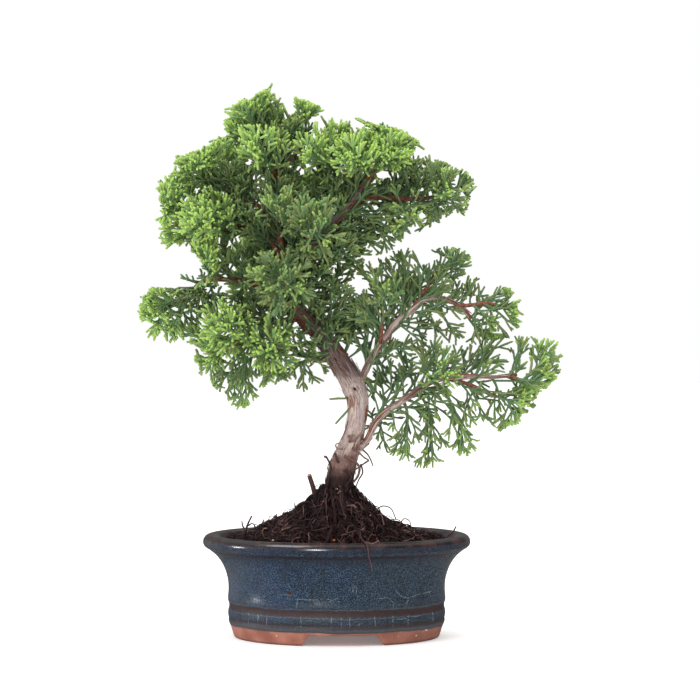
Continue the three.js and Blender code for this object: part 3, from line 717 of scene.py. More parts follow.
# %% The tree's skeleton
LIMBS = {
    "trunk_foot": ((8.6, 8.2), 3, [(0.8, 0, 62.3), (0.8, 0, 78), (1, 0, 88), (2, 0, 96), (4, 0, 104)]),
    "trunk_waist": ((8.2, 5.4), 4, [(2, 0, 96), (4, 0, 104), (7.6, 0, 114), (10.6, 0, 123), (12, 0, 132)]),
    "trunk_neck": ((5.3, 7.2), 4, [(9.6, 0, 120), (11.6, 0, 128), (12.6, 0, 138), (11.8, 0, 147),
                                   (9, 1, 154)]),
    "trunk_shaggy": ((7.2, 4.4), 7, [(12, 0, 146), (8, 1, 155), (2, 2, 164), (-4, 2, 173), (-9, 2, 181),
                                     (-16, 2, 187), (-22, 2, 194)]),
    "leader": ((4.4, 1.5), 8, [(-18, 2, 189), (-23, 2, 195), (-26, 3, 204), (-26, 3, 214), (-20, 2, 228),
                               (-8, 0, 242), (4, -2, 255), (14, -2, 267), (21, -2, 277)]),
    "apex": ((2.6, 1.4), 6, [(-26, 3, 206), (-32, 2, 228), (-35, 0, 250), (-36, 0, 272), (-41, 0, 290),
                             (-47, 0, 304)]),
    "tuft": ((1.6, 1.4), 3, [(-36, 0, 273), (-30, 0, 284), (-22, 0, 292), (-18, 0, 301)]),
    "crown_left": ((1.7, 1.4), 3, [(1, -1, 252), (2, 7, 266), (1, 11, 280), (-1, 12, 291)]),
    "crown_right": ((1.6, 1.4), 3, [(17, -2, 271), (21, -2, 277), (27, -4, 287), (30, -4, 292)]),
    "lobe": ((2.2, 1.4), 5, [(3, -1, 254), (21, 0, 263), (43, -2, 262), (57, -3, 263), (68, -2, 266)]),
    "shoulder": ((1.9, 1.4), 4, [(-35, 0, 247), (-45, 0, 257), (-58, 0, 263), (-72, 2, 270)]),
    "side": ((1.9, 1.4), 4, [(-31, 2, 224), (-45, 0, 242), (-58, -2, 247), (-84, 0, 249)]),
    "far": ((2.2, 1.4), 6, [(-25, 3, 200), (-40, -2, 208), (-58, -4, 213), (-76, -2, 214), (-83, 0, 211),
                            (-87, 0, 206), (-90, 0, 201)]),
    "low": ((2.2, 1.4), 5, [(-20, 2, 191), (-34, -2, 189), (-48, -4, 185), (-68, -4, 172)]),
    "low_middle": ((1.8, 1.4), 5, [(0, 2, 167), (-12, -3, 165.5), (-24, -6, 171), (-34, -10, 175),
                                   (-38, -16, 175)]),
    "front_high": ((1.8, 1.4), 4, [(-21, 2, 227), (-20, -14, 236), (-18, -30, 239), (-16, -42, 238)]),
    "front_low": ((1.8, 1.4), 4, [(-26, 3, 204), (-26, -12, 208), (-28, -28, 210), (-30, -42, 211)]),
    "back_high": ((1.8, 1.4), 4, [(-9, 0, 241), (-8, 16, 250), (-10, 32, 254), (-12, 44, 256)]),
    "back_low": ((1.8, 1.4), 4, [(-26, 3, 212), (-30, 18, 219), (-34, 32, 221), (-38, 44, 222)]),
    "arch": ((3.5, 1.4), 8, [(11, 0, 144), (14, 0, 151), (18.7, -1, 163), (26, -2, 175), (35, -2, 187),
                             (44, -1, 195), (53, 0, 202), (60, 0, 203), (68, 0, 201), (75, 0, 197),
                             (81, 0, 191)]),
    "arch_up": ((1.6, 1.4), 3, [(45, -1, 196), (52, 2, 206), (58, 3, 215), (62, 2, 220)]),
    "arch_far": ((1.5, 1.4), 2, [(74, 0, 198), (83, 0, 199), (91, 0, 200)]),
    "arch_back": ((1.6, 1.4), 3, [(35, -2, 187), (38, 12, 192), (42, 26, 198), (45, 36, 201)]),
    "arch_front": ((1.5, 1.4), 3, [(26, -2, 175), (27, -14, 186), (27, -24, 194)]),
    "wide": ((3.3, 1.4), 9, [(6, 0, 107), (9.5, -2, 112), (15, -4, 118), (21, -5, 129), (28, -6, 135),
                             (35, -6, 139), (44, -6, 145), (53, -6, 151), (60, -6, 154), (78, -6, 156),
                             (98, -4, 156), (108, -3, 157)]),
    "low_right": ((1.6, 1.4), 3, [(66, -6, 155), (80, -5, 151), (92, -4, 145)]),
}
ROUTES = {name: Route(points) for name, (*_, points) in LIMBS.items()}
print("limbs:", len(LIMBS))

# %% [markdown]
# ## Where each spray stands
# A spray is a leafy green stem on the end of a short brown twig. The list says which limb it grows on,
# how far along it, and where its tip is; a second tip is that of its fork. On a living tree no stem
# runs through another, and the frame took care of that: each stem bows aside, a little further each
# time, until it is clear of all that grew before it. The same rule is followed here, so that every
# spray lies along its own node.

# %% The sprays and their tips
SPRAYS = [
    ("apex", 1, (-60, 0, 323), (-40, -8, 326)), ("apex", 0.84, (-69, 16, 311)),
    ("apex", 0.62, (-52, -46, 290)), ("apex", 0.74, (-30, 26, 314)),
    ("tuft", 1, (-21, 4, 322), (-10, -6, 317)), ("crown_left", 1, (3, 12, 310)),
    ("crown_left", 0.5, (-20, -42, 286)), ("crown_right", 1, (34, 0, 307), (17, -26, 303)),
    ("crown_right", 0.7, (48, 26, 299)), ("crown_right", 0.1, (4, -58, 280)),
    ("crown_right", 0.5, (32, -48, 282)), ("lobe", 1, (85, 0, 280), (77, -14, 253)),
    ("lobe", 0.78, (58, 22, 289)), ("lobe", 0.7, (66, -42, 266)), ("lobe", 0.4, (37, -50, 241)),
    ("lobe", 0.6, (56, 40, 248)), ("shoulder", 1, (-94, 0, 287), (-76, -32, 286)),
    ("shoulder", 0.7, (-68, 30, 298)), ("side", 1, (-109, 12, 268), (-104, -26, 252)),
    ("side", 0.85, (-108, 20, 237)), ("side", 0.6, (-84, -58, 245)),
    ("far", 1, (-117, 4, 200), (-107, -10, 177)), ("far", 0.93, (-93, 16, 178)),
    ("far", 0.62, (-101, 0, 222)), ("far", 0.4, (-78, -48, 226)),
    ("low", 1, (-83, -14, 171), (-78, 16, 157)), ("low", 0.86, (-66, -5, 140)),
    ("low", 0.66, (-52, -30, 140)), ("low", 0.5, (-44, 26, 151)), ("low", 0.72, (-66, -56, 189)),
    ("low_middle", 1, (-37, -50, 172)), ("low_middle", 0.7, (-28, -12, 151)),
    ("low_middle", 0.3, (-14, 20, 154)), ("front_high", 1, (-21, -70, 254), (-4, -70, 231)),
    ("front_high", 0.6, (-46, -50, 262)), ("front_low", 1, (-50, -68, 220), (-16, -68, 205)),
    ("back_high", 1, (-14, 74, 268), (14, 68, 250)), ("back_high", 0.6, (-42, 56, 280)),
    ("back_low", 1, (-64, 66, 238), (-24, 74, 216)), ("back_low", 0.6, (-62, 52, 196)),
    ("arch_front", 1, (30, -50, 213)), ("arch_up", 1, (66, -10, 233), (50, 12, 232)),
    ("arch_up", 0.6, (82, 14, 225)), ("arch", 1, (99, 20, 179)),
    ("arch_far", 1, (109, -14, 190), (100, 0, 211)), ("arch_back", 1, (40, 68, 216), (66, 60, 196)),
    ("wide", 1, (133, -5, 158), (126, 4, 179)), ("wide", 0.94, (124, 16, 144)),
    ("wide", 0.62, (69, -44, 160)), ("low_right", 1, (116, -10, 137), (105, 6, 124)),
    ("wide", 0.5, (36, -6, 109)), ("wide", 0.58, (54, 8, 102)), ("wide", 0.7, (76, -12, 110)),
]
TWIG_SHARE = 0.14
FRAME_TWIG = 0.95
FRAME_STEM = 1.5
STEM_STEPS = 3
LAST_ROOT = 0.96
CLEAR = 0.35
FLUTE_REACH = 1.12


class Room:
    """The straight stretches that fill the canopy so far, and the node of each."""

    def __init__(self):
        self.stretches = np.empty((0, 7))
        self.owners = np.array([], dtype=object)

    def fill(self, owner, points, start_radius, end_radius):
        last = len(points) - 1
        for k in range(last):
            radius = max(mix(start_radius, end_radius, k / last),
                         mix(start_radius, end_radius, (k + 1) / last))
            self.stretches = np.vstack([self.stretches, [*points[k], *points[k + 1], radius]])
            self.owners = np.append(self.owners, owner)

    def clear(self, owner, points, radius):
        others = self.stretches[self.owners != owner]
        return all(np.all(gaps(p, q, others[:, :3], others[:, 3:6]) > radius + others[:, 6] + CLEAR)
                   for p, q in zip(points, points[1:]))


def gaps(p, q, starts, ends):
    """Shortest distances from the stretch p to q to many others."""
    d1, d2, r = q - p, ends - starts, p - starts
    a, e, f, c, b = d1 @ d1, (d2 * d2).sum(1), (d2 * r).sum(1), r @ d1, d2 @ d1
    apart = a * e - b * b
    s = np.where(apart > 1e-9, np.clip((b * f - c * e) / np.where(apart > 1e-9, apart, 1), 0, 1), 0)
    t = (b * s + f) / e
    s = np.where(t < 0, np.clip(-c / a, 0, 1), np.where(t > 1, np.clip((b - c) / a, 0, 1), s))
    t = np.clip(t, 0, 1)
    return np.linalg.norm(p + s[:, None] * d1 - starts - t[:, None] * d2, axis=1)


def bows_round(direction):
    """No bow first, then ever wider ones all round the way from foot to tip."""
    yield np.zeros(3)
    u = unit(np.cross((1.0, 0, 0) if abs(direction[2]) > 0.9 else UP, direction))
    v = unit(np.cross(direction, u))
    for amount in (4, 8, 12, 17, 23):
        for k in range(10):
            angle = k / 10 * 2 * math.pi
            yield u * amount * math.cos(angle) + v * amount * math.sin(angle)


def find_stem(room, node, foot, along, tip, twig_share):
    """The first bow that is clear of the rest, and the share of it where the green stem starts."""
    way = tip - foot
    lean = unit(0.5 * along + 0.8 * unit(way))
    for bow in bows_round(unit(way)):
        curve = Bow(foot, foot + lean * 0.42 * np.linalg.norm(way) + bow, tip)
        start = twig_share and twig_share + CLEAR / curve.length()
        stem = curve.between(start, 1, STEM_STEPS)
        twig = curve.between(0, twig_share, 1)
        if room.clear(node, stem, FRAME_STEM) and (not twig_share or room.clear("trunk", twig, FRAME_STEM)):
            return curve, start, stem
    raise ValueError(f"no clear way for {node}")


def set_out_sprays():
    """For each spray its node, its limb, and the curves of its stems with the share each starts at."""
    room = Room()
    for name, ((foot_radius, tip_radius), steps, _) in LIMBS.items():
        reach = FLUTE_REACH if name.startswith("trunk") else 1
        room.fill("trunk", ROUTES[name].sampled(steps), reach * foot_radius, reach * tip_radius)
    counts = {}
    found = []
    for limb, station, *tips in SPRAYS:
        counts[limb] = counts.get(limb, 0) + 1
        node = f"spray_{limb}_{counts[limb]}"
        rooted = min(station, LAST_ROOT)
        foot, along = ROUTES[limb].at(rooted), ROUTES[limb].along(rooted)
        curve, start, stem = find_stem(room, node, foot, along, np.array(tips[0], float), TWIG_SHARE)
        room.fill("trunk", curve.between(0, TWIG_SHARE, 1), FRAME_TWIG, FRAME_STEM)
        room.fill(node, stem, FRAME_STEM, FRAME_STEM)
        stems = [(curve, start)]
        if len(tips) > 1:
            fork = find_stem(room, node, stem[1], unit(stem[2] - stem[1]), np.array(tips[1], float), 0)
            room.fill(node, fork[2], FRAME_STEM, FRAME_STEM)
            stems.append(fork[:2])
        found.append((node, limb, stems))
    return found


sprays = set_out_sprays()
print("sprays:", len(sprays), "stems:", sum(len(stems) for *_, stems in sprays))

# %% [markdown]
# ## Strands: a geometry tree
# Twigs, stems and roots are all the same thing to a maker: a thin strand that follows a path and
# tapers. A geometry tree sweeps a ring along every path of a guide mesh at once. The guide carries the
# girth and the tone of each point, so the script only has to say where a strand runs.

# %% The tree that sweeps strands
GUIDE_MODIFIER = "grow"


def geometry_group(name, sockets):
    """An empty geometry tree with a guide coming in, named inputs and a mesh going out."""
    group = bpy.data.node_groups.new(name, "GeometryNodeTree")
    group.interface.new_socket("Guide", in_out="INPUT", socket_type="NodeSocketGeometry")
    for label, kind in sockets.items():
        group.interface.new_socket(label, in_out="INPUT", socket_type=kind)
    group.interface.new_socket("Piece", in_out="OUTPUT", socket_type="NodeSocketGeometry")
    tree = Tree(group)
    entry = group.nodes.new("NodeGroupInput")
    given = {socket.name: Wire(tree, socket) for socket in entry.outputs if socket.name}
    return group, tree, given


def named(tree, name, kind="FLOAT"):
    return tree.node("GeometryNodeInputNamedAttribute", {"data_type": kind}, {"Name": name})


def swept(tree, mesh, sides):
    """A ring swept along each row of edges, as thick as the guide's girth says."""
    path = tree.node("GeometryNodeMeshToCurve", None, {"Mesh": mesh})
    ring = tree.node("GeometryNodeCurvePrimitiveCircle", None, {"Resolution": sides, "Radius": 1.0})
    return tree.node("GeometryNodeCurveToMesh", None, {"Curve": path, "Profile Curve": ring,
                                                       "Scale": named(tree, "girth"), "Fill Caps": True})


def ends_in(tree, geometry, material):
    """The common end of each geometry tree: real mesh, its finish, and the way out."""
    whole = tree.node("GeometryNodeRealizeInstances", None, {"Geometry": geometry})
    dressed = tree.node("GeometryNodeSetMaterial", None, {"Geometry": whole, "Material": material})
    tree.node("NodeGroupOutput", None, {"Piece": dressed})


def strand_group():
    group, tree, given = geometry_group("sweep_strands",
                                        {"Sides": "NodeSocketInt", "Finish": "NodeSocketMaterial"})
    ends_in(tree, swept(tree, given["Guide"], given["Sides"]), given["Finish"])
    return group


def grow(piece, group, **values):
    """Runs a geometry tree on a guide and keeps the result as a plain mesh."""
    modifier = piece.modifiers.new(GUIDE_MODIFIER, "NODES")
    modifier.node_group = group
    for item in group.interface.items_tree:
        if item.in_out == "INPUT" and item.name in values:
            modifier[item.identifier] = values[item.name]
    return settled(piece)


class Guide:
    """Paths to sweep and feet to plant, in millimetres, gathered for one piece."""

    def __init__(self):
        self.points = []
        self.edges = []
        self.values = {"girth": [], "tone": [], "way": [], "size": [], "planted": [], "turn": []}

    def add(self, point, girth=0.0, tone=0.0, way=(0, 0, 1), size=(0, 0, 0), planted=0.0, turn=0.0):
        self.points.append(point)
        for key, value in zip(self.values, (girth, tone, way, size, planted, turn)):
            self.values[key].append(value)

    def strand(self, points, girths, tones):
        first = len(self.points)
        for point, girth, tone in zip(points, girths, tones):
            self.add(point, girth * MM, tone)
        self.edges += [(first + k, first + k + 1) for k in range(len(points) - 1)]

    def object(self, name):
        mesh = bpy.data.meshes.new(name)
        mesh.from_pydata(placed(self.points).tolist(), self.edges, [])
        for key, values in self.values.items():
            set_attribute(mesh, key, values)
        return linked(name, mesh)


sweep_strands = strand_group()
print("strand tree:", len(sweep_strands.nodes), "nodes")

# %% [markdown]
# ## Bark
# Juniper bark is thin and stringy. It is grey with a pink cast where it has weathered, rust red where
# a strip has come away, and dark where soil has stained it. All of these run along the grain, so the
# wood carries its own coordinates: two values round the limb and one along it, stretched by the noise.

# %% The finish of bark and twigs
def bark_finish():
    finish = Finish("juniper_bark")
    grain = finish.attribute("grain", "Vector")
    red = finish.attribute("red")
    hollow = finish.attribute("hollow")
    long_lines = finish.noise(1.0, 5.0, 0.62, 0.4, at=grain)
    strips = finish.noise(0.42, 3.0, 0.55, 0.3, at=grain)
    hairlines = finish.noise(2.6, 3.0, 0.6, 0.2, at=grain)
    flecks = finish.noise(0.9, 3.0)
    pale = finish.blend(long_lines.step(0.3, 0.7), srgb(150, 124, 114), srgb(212, 194, 186))
    pale = finish.blend(strips.step(0.45, 0.62) * 0.7, pale, srgb(166, 152, 158))
    pale = finish.blend(flecks.step(0.52, 0.75) * 0.5, pale, srgb(212, 192, 182))
    warm = finish.blend(long_lines.step(0.34, 0.66), srgb(82, 48, 38), srgb(154, 102, 80))
    warm = finish.blend(flecks.step(0.5, 0.8) * 0.6, warm, srgb(164, 122, 104))
    colour = finish.blend((red + (strips - 0.5) * 1.6).step(0.3, 0.7), pale, warm)
    colour = finish.blend(red.step(0.8, 0.84) * 0.5, colour, srgb(158, 96, 74))
    crack = long_lines.step(0.43, 0.3)
    colour = finish.blend(crack * 0.8, colour, srgb(56, 36, 31))
    colour = finish.blend(hairlines.step(0.46, 0.34) * 0.5, colour, srgb(96, 74, 68))
    # Painted shade: the small hollows in the bark are coloured near black.
    colour = finish.blend(hollow, colour, srgb(34, 22, 19))
    # Painted shade: above about 150 mm and left of about 22 mm, under the crown, the bark is darkened to a
    # purple grey, except where it is red.
    z = finish.axis(finish.place, "Z") + (finish.noise(0.25, 3.0) - 0.5) * 12
    shade = z.step(150, 162) * finish.axis(finish.place, "X").step(22, 11) * (1 - red.step(0.6, 0.8))
    colour = finish.blend(shade * 0.75, colour, srgb(96, 76, 78))
    colour = finish.blend(z.step(113, 106) * 0.75, colour, srgb(104, 64, 52))
    colour = finish.blend(z.step(104, 98) * 0.8, colour, srgb(60, 37, 31))
    colour = finish.blend(z.step(99, 94) * 0.92, colour, srgb(42, 26, 25))
    return finish.shade(Base_Color=colour, Roughness=0.75 + long_lines * 0.2, Specular_IOR_Level=0.3,
                        Normal=finish.bump(long_lines + strips * 0.6 + hairlines * 0.4, 0.6, 0.8))


bark = bark_finish()
print("bark finish:", len(bark.node_tree.nodes), "nodes")

# %% [markdown]
# ## Trunk
# The trunk and its arms grew as one, so their surfaces must flow into each other. Swept tubes that
# only cross show hard seams. Here the thick limbs are swept, merged by a voxel remesh, which rounds
# the forks, and then every point is pushed in or out by furrows that follow the limb it lies on.

# %% The thick wood
THICK_LIMBS = ["trunk_foot", "trunk_waist", "trunk_neck", "trunk_shaggy", "leader", "arch", "wide"]
VOXEL = 0.45
# Knots: where, the radius of the rim and how far it stands out. Hollows: where and how wide; each one is
# dented a little and coloured near black as painted shade. Patches of red bark: where, their reach along
# x, y and z, and how red.
KNOTS = [((11, -7.5, 149), 3.2, 1.5), ((7.2, -8, 155), 2.8, 1.0), ((9.6, -6, 120), 2.4, 0.9),
         ((4.5, -8, 103), 2.2, 0.7)]
HOLLOWS = [((8, -7, 117.5), 1.1), ((11.2, -6.5, 117.8), 1.0), ((10.4, -7, 113), 1.2), ((11, -7, 149), 1.1),
           ((7.6, -7.5, 153.4), 0.9), ((12.6, -7, 112.4), 1.5), ((14.4, -6, 116), 1.3),
           ((16.5, -4, 119), 1.6), ((3.5, -8, 110), 0.9)]
RED_PATCHES = [((8.6, -5.5, 141), (3.4, 6, 5.5), 0.6), ((18.5, -2, 133), (2.0, 5, 7), 0.8),
               ((-2, -5, 106), (3, 4, 8), 0.4), ((12, -8, 106), (6, 4, 6), 0.55),
               ((12.5, -7, 113.5), (3.0, 5, 4.4), 0.55)]
# Limbs whose radius isn't the frame's: the share of it that they keep at the foot and at the tip.
THINNER = {"arch": (0.68, 0.74), "wide": (0.62, 0.8), "leader": (1.0, 1.5)}
ARM_SHIFT = 3.2


def ring_frames(points):
    """For each point of a path, two directions square to it, carried along without a twist."""
    steps = np.gradient(points, axis=0)
    steps /= np.linalg.norm(steps, axis=1)[:, None]
    u = np.array([1.0, 0, 0]) if abs(steps[0][2]) > 0.9 else UP
    frames = []
    for along in steps:
        u = unit(u - along * (u @ along))
        frames.append((along, u, np.cross(along, u)))
    return frames


def tube(points, radii, sides):
    """A closed tube along a path: its points and faces."""
    corners = []
    for point, radius, (_, u, v) in zip(points, radii, ring_frames(points)):
        for i in range(sides):
            angle = 2 * math.pi * i / sides
            corners.append(point + radius * (math.cos(angle) * u + math.sin(angle) * v))
    return corners, capped_rings(len(points), sides)


def limb_samples(name, pitch=0.8):
    """Points along a limb with the radius at each, evenly enough for a smooth sweep."""
    foot_radius, tip_radius = LIMBS[name][0]
    length = run_length(ROUTES[name].sampled(40))
    count = max(6, int(length / pitch))
    path = ROUTES[name].sampled(count)
    if name == "wide":
        path[:, 0] += ARM_SHIFT * (1 - smooth_step(path[:, 0], 8, 46))
    foot_share, tip_share = THINNER.get(name, (1, 1))
    radii = np.linspace(foot_radius * foot_share, tip_radius * tip_share, count + 1)
    if name in ("arch", "wide", "leader"):
        radii = radii * (1 + 0.35 * np.exp(-np.linspace(0, length, count + 1) / 5))
        radii *= mix(1.0, 0.82, np.linspace(0, 1, count + 1))
    return path, radii


def fractal(x, y, z, octaves=3):
    return noise.fractal(Vector((x, y, z)), 1.0, 2.0, octaves)


def furrows(angle, radius, along, shaggy):
    """Height of the bark in millimetres, from where a point lies round and along its limb."""
    x, y = radius * math.cos(angle), radius * math.sin(angle)
    broad = fractal(x / 3.6, y / 3.6, along / 26)
    lines = 1 - abs(fractal(x / 1.7 + 7, y / 1.7, along / 17)) * 2
    strips = math.floor(3 * fractal(x / 1.3 + 3, y / 1.3 + 5, along / 13, 2)) / 3
    flutes = math.sin(3 * angle + along / 14) * 0.045 * radius
    return (0.5 * broad + flutes + mix(0.16, 0.4, shaggy) * (lines - 0.6) + mix(0.12, 0.75, shaggy) * strips
            ) * min(1, radius / 6)


def shagginess(name, height):
    """How far the bark hangs in strips, from 0 on the weathered trunk to 1 on the shaggy upper part."""
    if name == "wide":
        return 0.45
    if name == "arch":
        return 0.3
    return float(max(0.5 * smooth_step(height, 142, 158), 0.8 - 0.8 * smooth_step(height, 88, 101)))


def make_trunk():
    corners, faces = [], []
    samples = []
    for name in THICK_LIMBS:
        path, radii = limb_samples(name)
        limb_points, limb_faces = tube(path, radii, 24)
        faces += [[i + len(corners) for i in face] for face in limb_faces]
        corners += limb_points
        run = np.concatenate([[0], np.cumsum(np.linalg.norm(np.diff(path, axis=0), axis=1))])
        for point, radius, frame_here, distance in zip(path, radii, ring_frames(path), run):
            samples.append((name, point, radius, frame_here, distance + path[0][2]))
    trunk = linked("bark_trunk", plain_mesh("bark_trunk", corners, faces))
    remesh = trunk.modifiers.new("merge", "REMESH")
    remesh.mode = "VOXEL"
    remesh.voxel_size = VOXEL * MM
    settled(trunk)
    carve_bark(trunk, samples)
    return trunk


def nearest_samples(points, samples):
    """For each point, the index of the limb sample whose surface is nearest."""
    middles = np.array([sample[1] for sample in samples])
    radii = np.array([sample[2] for sample in samples])
    found = []
    for block in np.array_split(points, max(1, len(points) // 4000)):
        away = np.linalg.norm(block[:, None] - middles[None], axis=2) - radii[None]
        found.append(away.argmin(1))
    return np.concatenate(found)


def read_points(mesh):
    flat = np.empty(len(mesh.vertices) * 3, np.float32)
    mesh.vertices.foreach_get("co", flat)
    return (flat.reshape(-1, 3).astype(float) - HOME) / MM


def write_points(mesh, points):
    mesh.vertices.foreach_set("co", placed(points).astype(np.float32).ravel())
    mesh.update()


def carve_bark(trunk, samples):
    mesh = trunk.data
    points = read_points(mesh)
    grain = np.empty((len(points), 3))
    red = np.empty(len(points))
    hollow = np.zeros(len(points))
    moved = points.copy()
    for k, (point, index) in enumerate(zip(points, nearest_samples(points, samples))):
        name, middle, radius, (along, u, v), distance = samples[index]
        out = point - middle
        out = out - along * (out @ along)
        size = max(np.linalg.norm(out), 1e-6)
        angle = math.atan2(out @ v, out @ u)
        shaggy = shagginess(name, point[2])
        moved[k] = point + out / size * furrows(angle, radius, distance, shaggy)
        grain[k] = radius * math.cos(angle), radius * math.sin(angle), distance / 9
        red[k] = mix(-0.38, 0.75, shaggy)
        if name in ("arch", "wide"):
            red[k] = mix(0.15, 0.8, smooth_step(point[0], 40, 80))
        if name == "leader":
            red[k] = 0.85
    for place, size, height in KNOTS:
        away = np.linalg.norm(moved - np.array(place), axis=1) / size
        push = height * (np.exp(-((away - 1) / 0.35) ** 2) - 1.1 * np.exp(-(away / 0.5) ** 2))
        moved[:, 1] -= push * (away < 3)
    for place, size in HOLLOWS:
        deep = np.exp(-(np.linalg.norm(points - np.array(place), axis=1) / size) ** 4)
        moved[:, 1] += 1.1 * deep
        hollow = np.maximum(hollow, deep)
    for place, reach, amount in RED_PATCHES:
        away = np.linalg.norm((points - np.array(place)) / np.array(reach), axis=1)
        red = np.maximum(red, mix(-0.4, amount, smooth_step(away, 1.3, 0.6)))
    write_points(mesh, moved)
    set_attribute(mesh, "hollow", hollow)
    set_attribute(mesh, "grain", grain)
    set_attribute(mesh, "red", red)


trunk = make_trunk()
finished(trunk, bark, ["trunk"])
print("trunk:", triangles(trunk), "triangles")

# %% [markdown]
# ## Peeling strips
# Old juniper bark lets go in strips that stay fixed at one end. A furrow in the surface can't show
# that, so the strips are thin ribbons of their own, laid along the grain with one end curling away.

# %% Strips of bark
FLAKE_SEED = 311
FLAKE_STEPS = 6
# For each limb: how many strips, their length and width in millimetres, and how far their ends lift.
FLAKES = {
    "trunk_shaggy": (80, (7, 19), (0.9, 2.0), (0.3, 1.7)),
    "trunk_neck": (12, (5, 12), (0.7, 1.3), (0.1, 0.6)),
    "trunk_waist": (16, (5, 12), (0.7, 1.4), (0.1, 0.8)),
    "trunk_foot": (46, (5, 14), (0.8, 1.8), (0.4, 1.8)), "leader": (70, (6, 14), (0.6, 1.4), (0.4, 1.6)),
    "arch": (60, (5, 13), (0.5, 1.0), (0.2, 1.3)), "wide": (80, (5, 13), (0.6, 1.2), (0.3, 1.5)),
}


def make_flakes():
    draw = np.random.default_rng(FLAKE_SEED)
    points, faces, grain, red = [], [], [], []
    for name, (count, lengths, widths, lifts) in FLAKES.items():
        path, radii = limb_samples(name)
        frames = ring_frames(path)
        pitch = np.linalg.norm(path[1] - path[0])
        for _ in range(count):
            length, width, lift = draw.uniform(*lengths), draw.uniform(*widths), draw.uniform(*lifts)
            start = draw.integers(0, max(1, len(path) - int(length / pitch) - 1))
            angle, sway = draw.uniform(0, 2 * math.pi), draw.uniform(-0.25, 0.25)
            tone, backwards = draw.uniform(0.1, 0.9), draw.uniform(0, 1) < 0.4
            first = len(points)
            for k in range(FLAKE_STEPS + 1):
                share = k / FLAKE_STEPS
                index = min(len(path) - 1, int(start + share * length / pitch))
                along, u, v = frames[index]
                out = math.cos(angle + sway * share) * u + math.sin(angle + sway * share) * v
                side = np.cross(along, out)
                free = 1 - share if backwards else share
                middle = path[index] + out * (radii[index] + 0.1 + lift * free ** 2.2)
                half = width / 2 * math.sin(math.pi * mix(0.16, 0.9, free)) ** 0.7
                for across_share, out_share in ((-1, -1), (1, -1), (1, 1), (-1, 1)):
                    points.append(middle + side * half * across_share + out * 0.14 * out_share)
                    grain.append((across_share * half + tone * 30, tone * 17, share * length / 9))
                    red.append(tone)
            ring = ring_faces(FLAKE_STEPS + 1, 4)
            faces += [[first + i for i in face] for face in ring]
            last = first + FLAKE_STEPS * 4
            faces += [[first + 3, first + 2, first + 1, first], [last, last + 1, last + 2, last + 3]]
    mesh = plain_mesh("bark_strips", points, faces,
                      {"grain": grain, "red": red, "hollow": np.zeros(len(points))})
    return linked("bark_strips", mesh)


strips = make_flakes()
finished(strips, bark)
print("strips:", triangles(strips), "triangles")

# %% [markdown]
# ## Branches and twigs
# The thin limbs and the brown feet of the sprays are strands. Each starts inside the limb that it
# grows on and tapers to the width of the green stem that follows it.

# %% The thin wood
def make_twigs():
    guide = Guide()
    for name, ((foot_radius, tip_radius), *_) in LIMBS.items():
        if name in THICK_LIMBS:
            continue
        path = ROUTES[name].sampled(18)
        shares = np.linspace(0, 1, len(path))
        knobs = 1 + 0.1 * np.sin(shares * 37 + len(name)) + 0.07 * np.sin(shares * 71)
        guide.strand(path, mix(foot_radius * 0.85, tip_radius * 0.72, shares) * knobs, 0.3 + 0.5 * shares)
    for *_, stems in sprays:
        curve, start = stems[0]
        path = curve.between(0, start + 0.03, 4)
        guide.strand(path, np.linspace(1.15, 0.95, 5), np.linspace(0.7, 1, 5))
    twigs = guide.object("bark_twigs")
    return grow(twigs, sweep_strands, Sides=9, Finish=twig_bark)


def twig_finish():
    finish = Finish("twig_bark")
    tone = finish.attribute("tone")
    blotches = finish.noise(0.7, 4.0, 0.65)
    colour = finish.blend(blotches.step(0.35, 0.65), srgb(84, 42, 32), srgb(158, 92, 70))
    colour = finish.blend(finish.noise(2.4, 2.0).step(0.55, 0.7) * 0.5, colour, srgb(160, 124, 106))
    colour = finish.blend(tone.step(0.75, 1.0) * 0.6, colour, srgb(96, 104, 58))
    return finish.shade(Base_Color=colour, Roughness=0.7 + blotches * 0.2,
                        Normal=finish.bump(finish.noise(1.6, 3.0), 0.4, 0.6))


twig_bark = twig_finish()
twigs = make_twigs()
finished(twigs, twig_bark)
print("twigs:", triangles(twigs), "triangles")

# %% [markdown]
# ## Foliage: the cord
# A grown juniper has no flat leaves. Its last twigs are cords, a millimetre and a half thick, clad in
# tiny scales that press against them, and they end in blunt soft tips. One cord is so small that
# fifteen faces are enough, with a slight swelling along its middle. Three shapes, straight and bent two
# ways, are turned at random, so that no two look alike.

# %% Three cords to plant
CORD_SIDES = 5
CORD_RINGS = [(0.0, 0.78), (0.45, 0.96), (0.9, 0.84)]
CORD_BENDS = [0.0, 0.09, -0.16]


def make_cord(name, bend):
    """A cord one long and one thick, standing on the origin."""
    points, tips = [], []
    for height, girth in CORD_RINGS:
        for i in range(CORD_SIDES):
            angle = 2 * math.pi * (i + 0.5 * (height > 0.5)) / CORD_SIDES
            shift = bend * height ** 2 / 0.1
            points.append((girth * math.cos(angle) + shift, girth * math.sin(angle), height))
            tips.append(height)
    faces = ring_faces(len(CORD_RINGS), CORD_SIDES)
    top = len(points)
    last = top - CORD_SIDES
    points.append((bend / 0.1, 0, 1))
    tips.append(1)
    faces += [[last + i, last + (i + 1) % CORD_SIDES, top] for i in range(CORD_SIDES)]
    mesh = bpy.data.meshes.new(name)
    mesh.from_pydata(points, [], faces)
    set_attribute(mesh, "along", tips)
    return bpy.data.objects.new(name, mesh)


cord_shapes = bpy.data.collections.new("cord_shapes")
for index, bend in enumerate(CORD_BENDS):
    cord_shapes.objects.link(make_cord(f"cord_{index}", bend))

# %% [markdown]
# ## Foliage: the finish
# New growth at the tips is a sharp yellow green. Further back the scales are mid green with a blue
# cast, and the oldest, deep in the canopy, are dull and dark. Each cord carries its tone and knows
# where its own tip is.

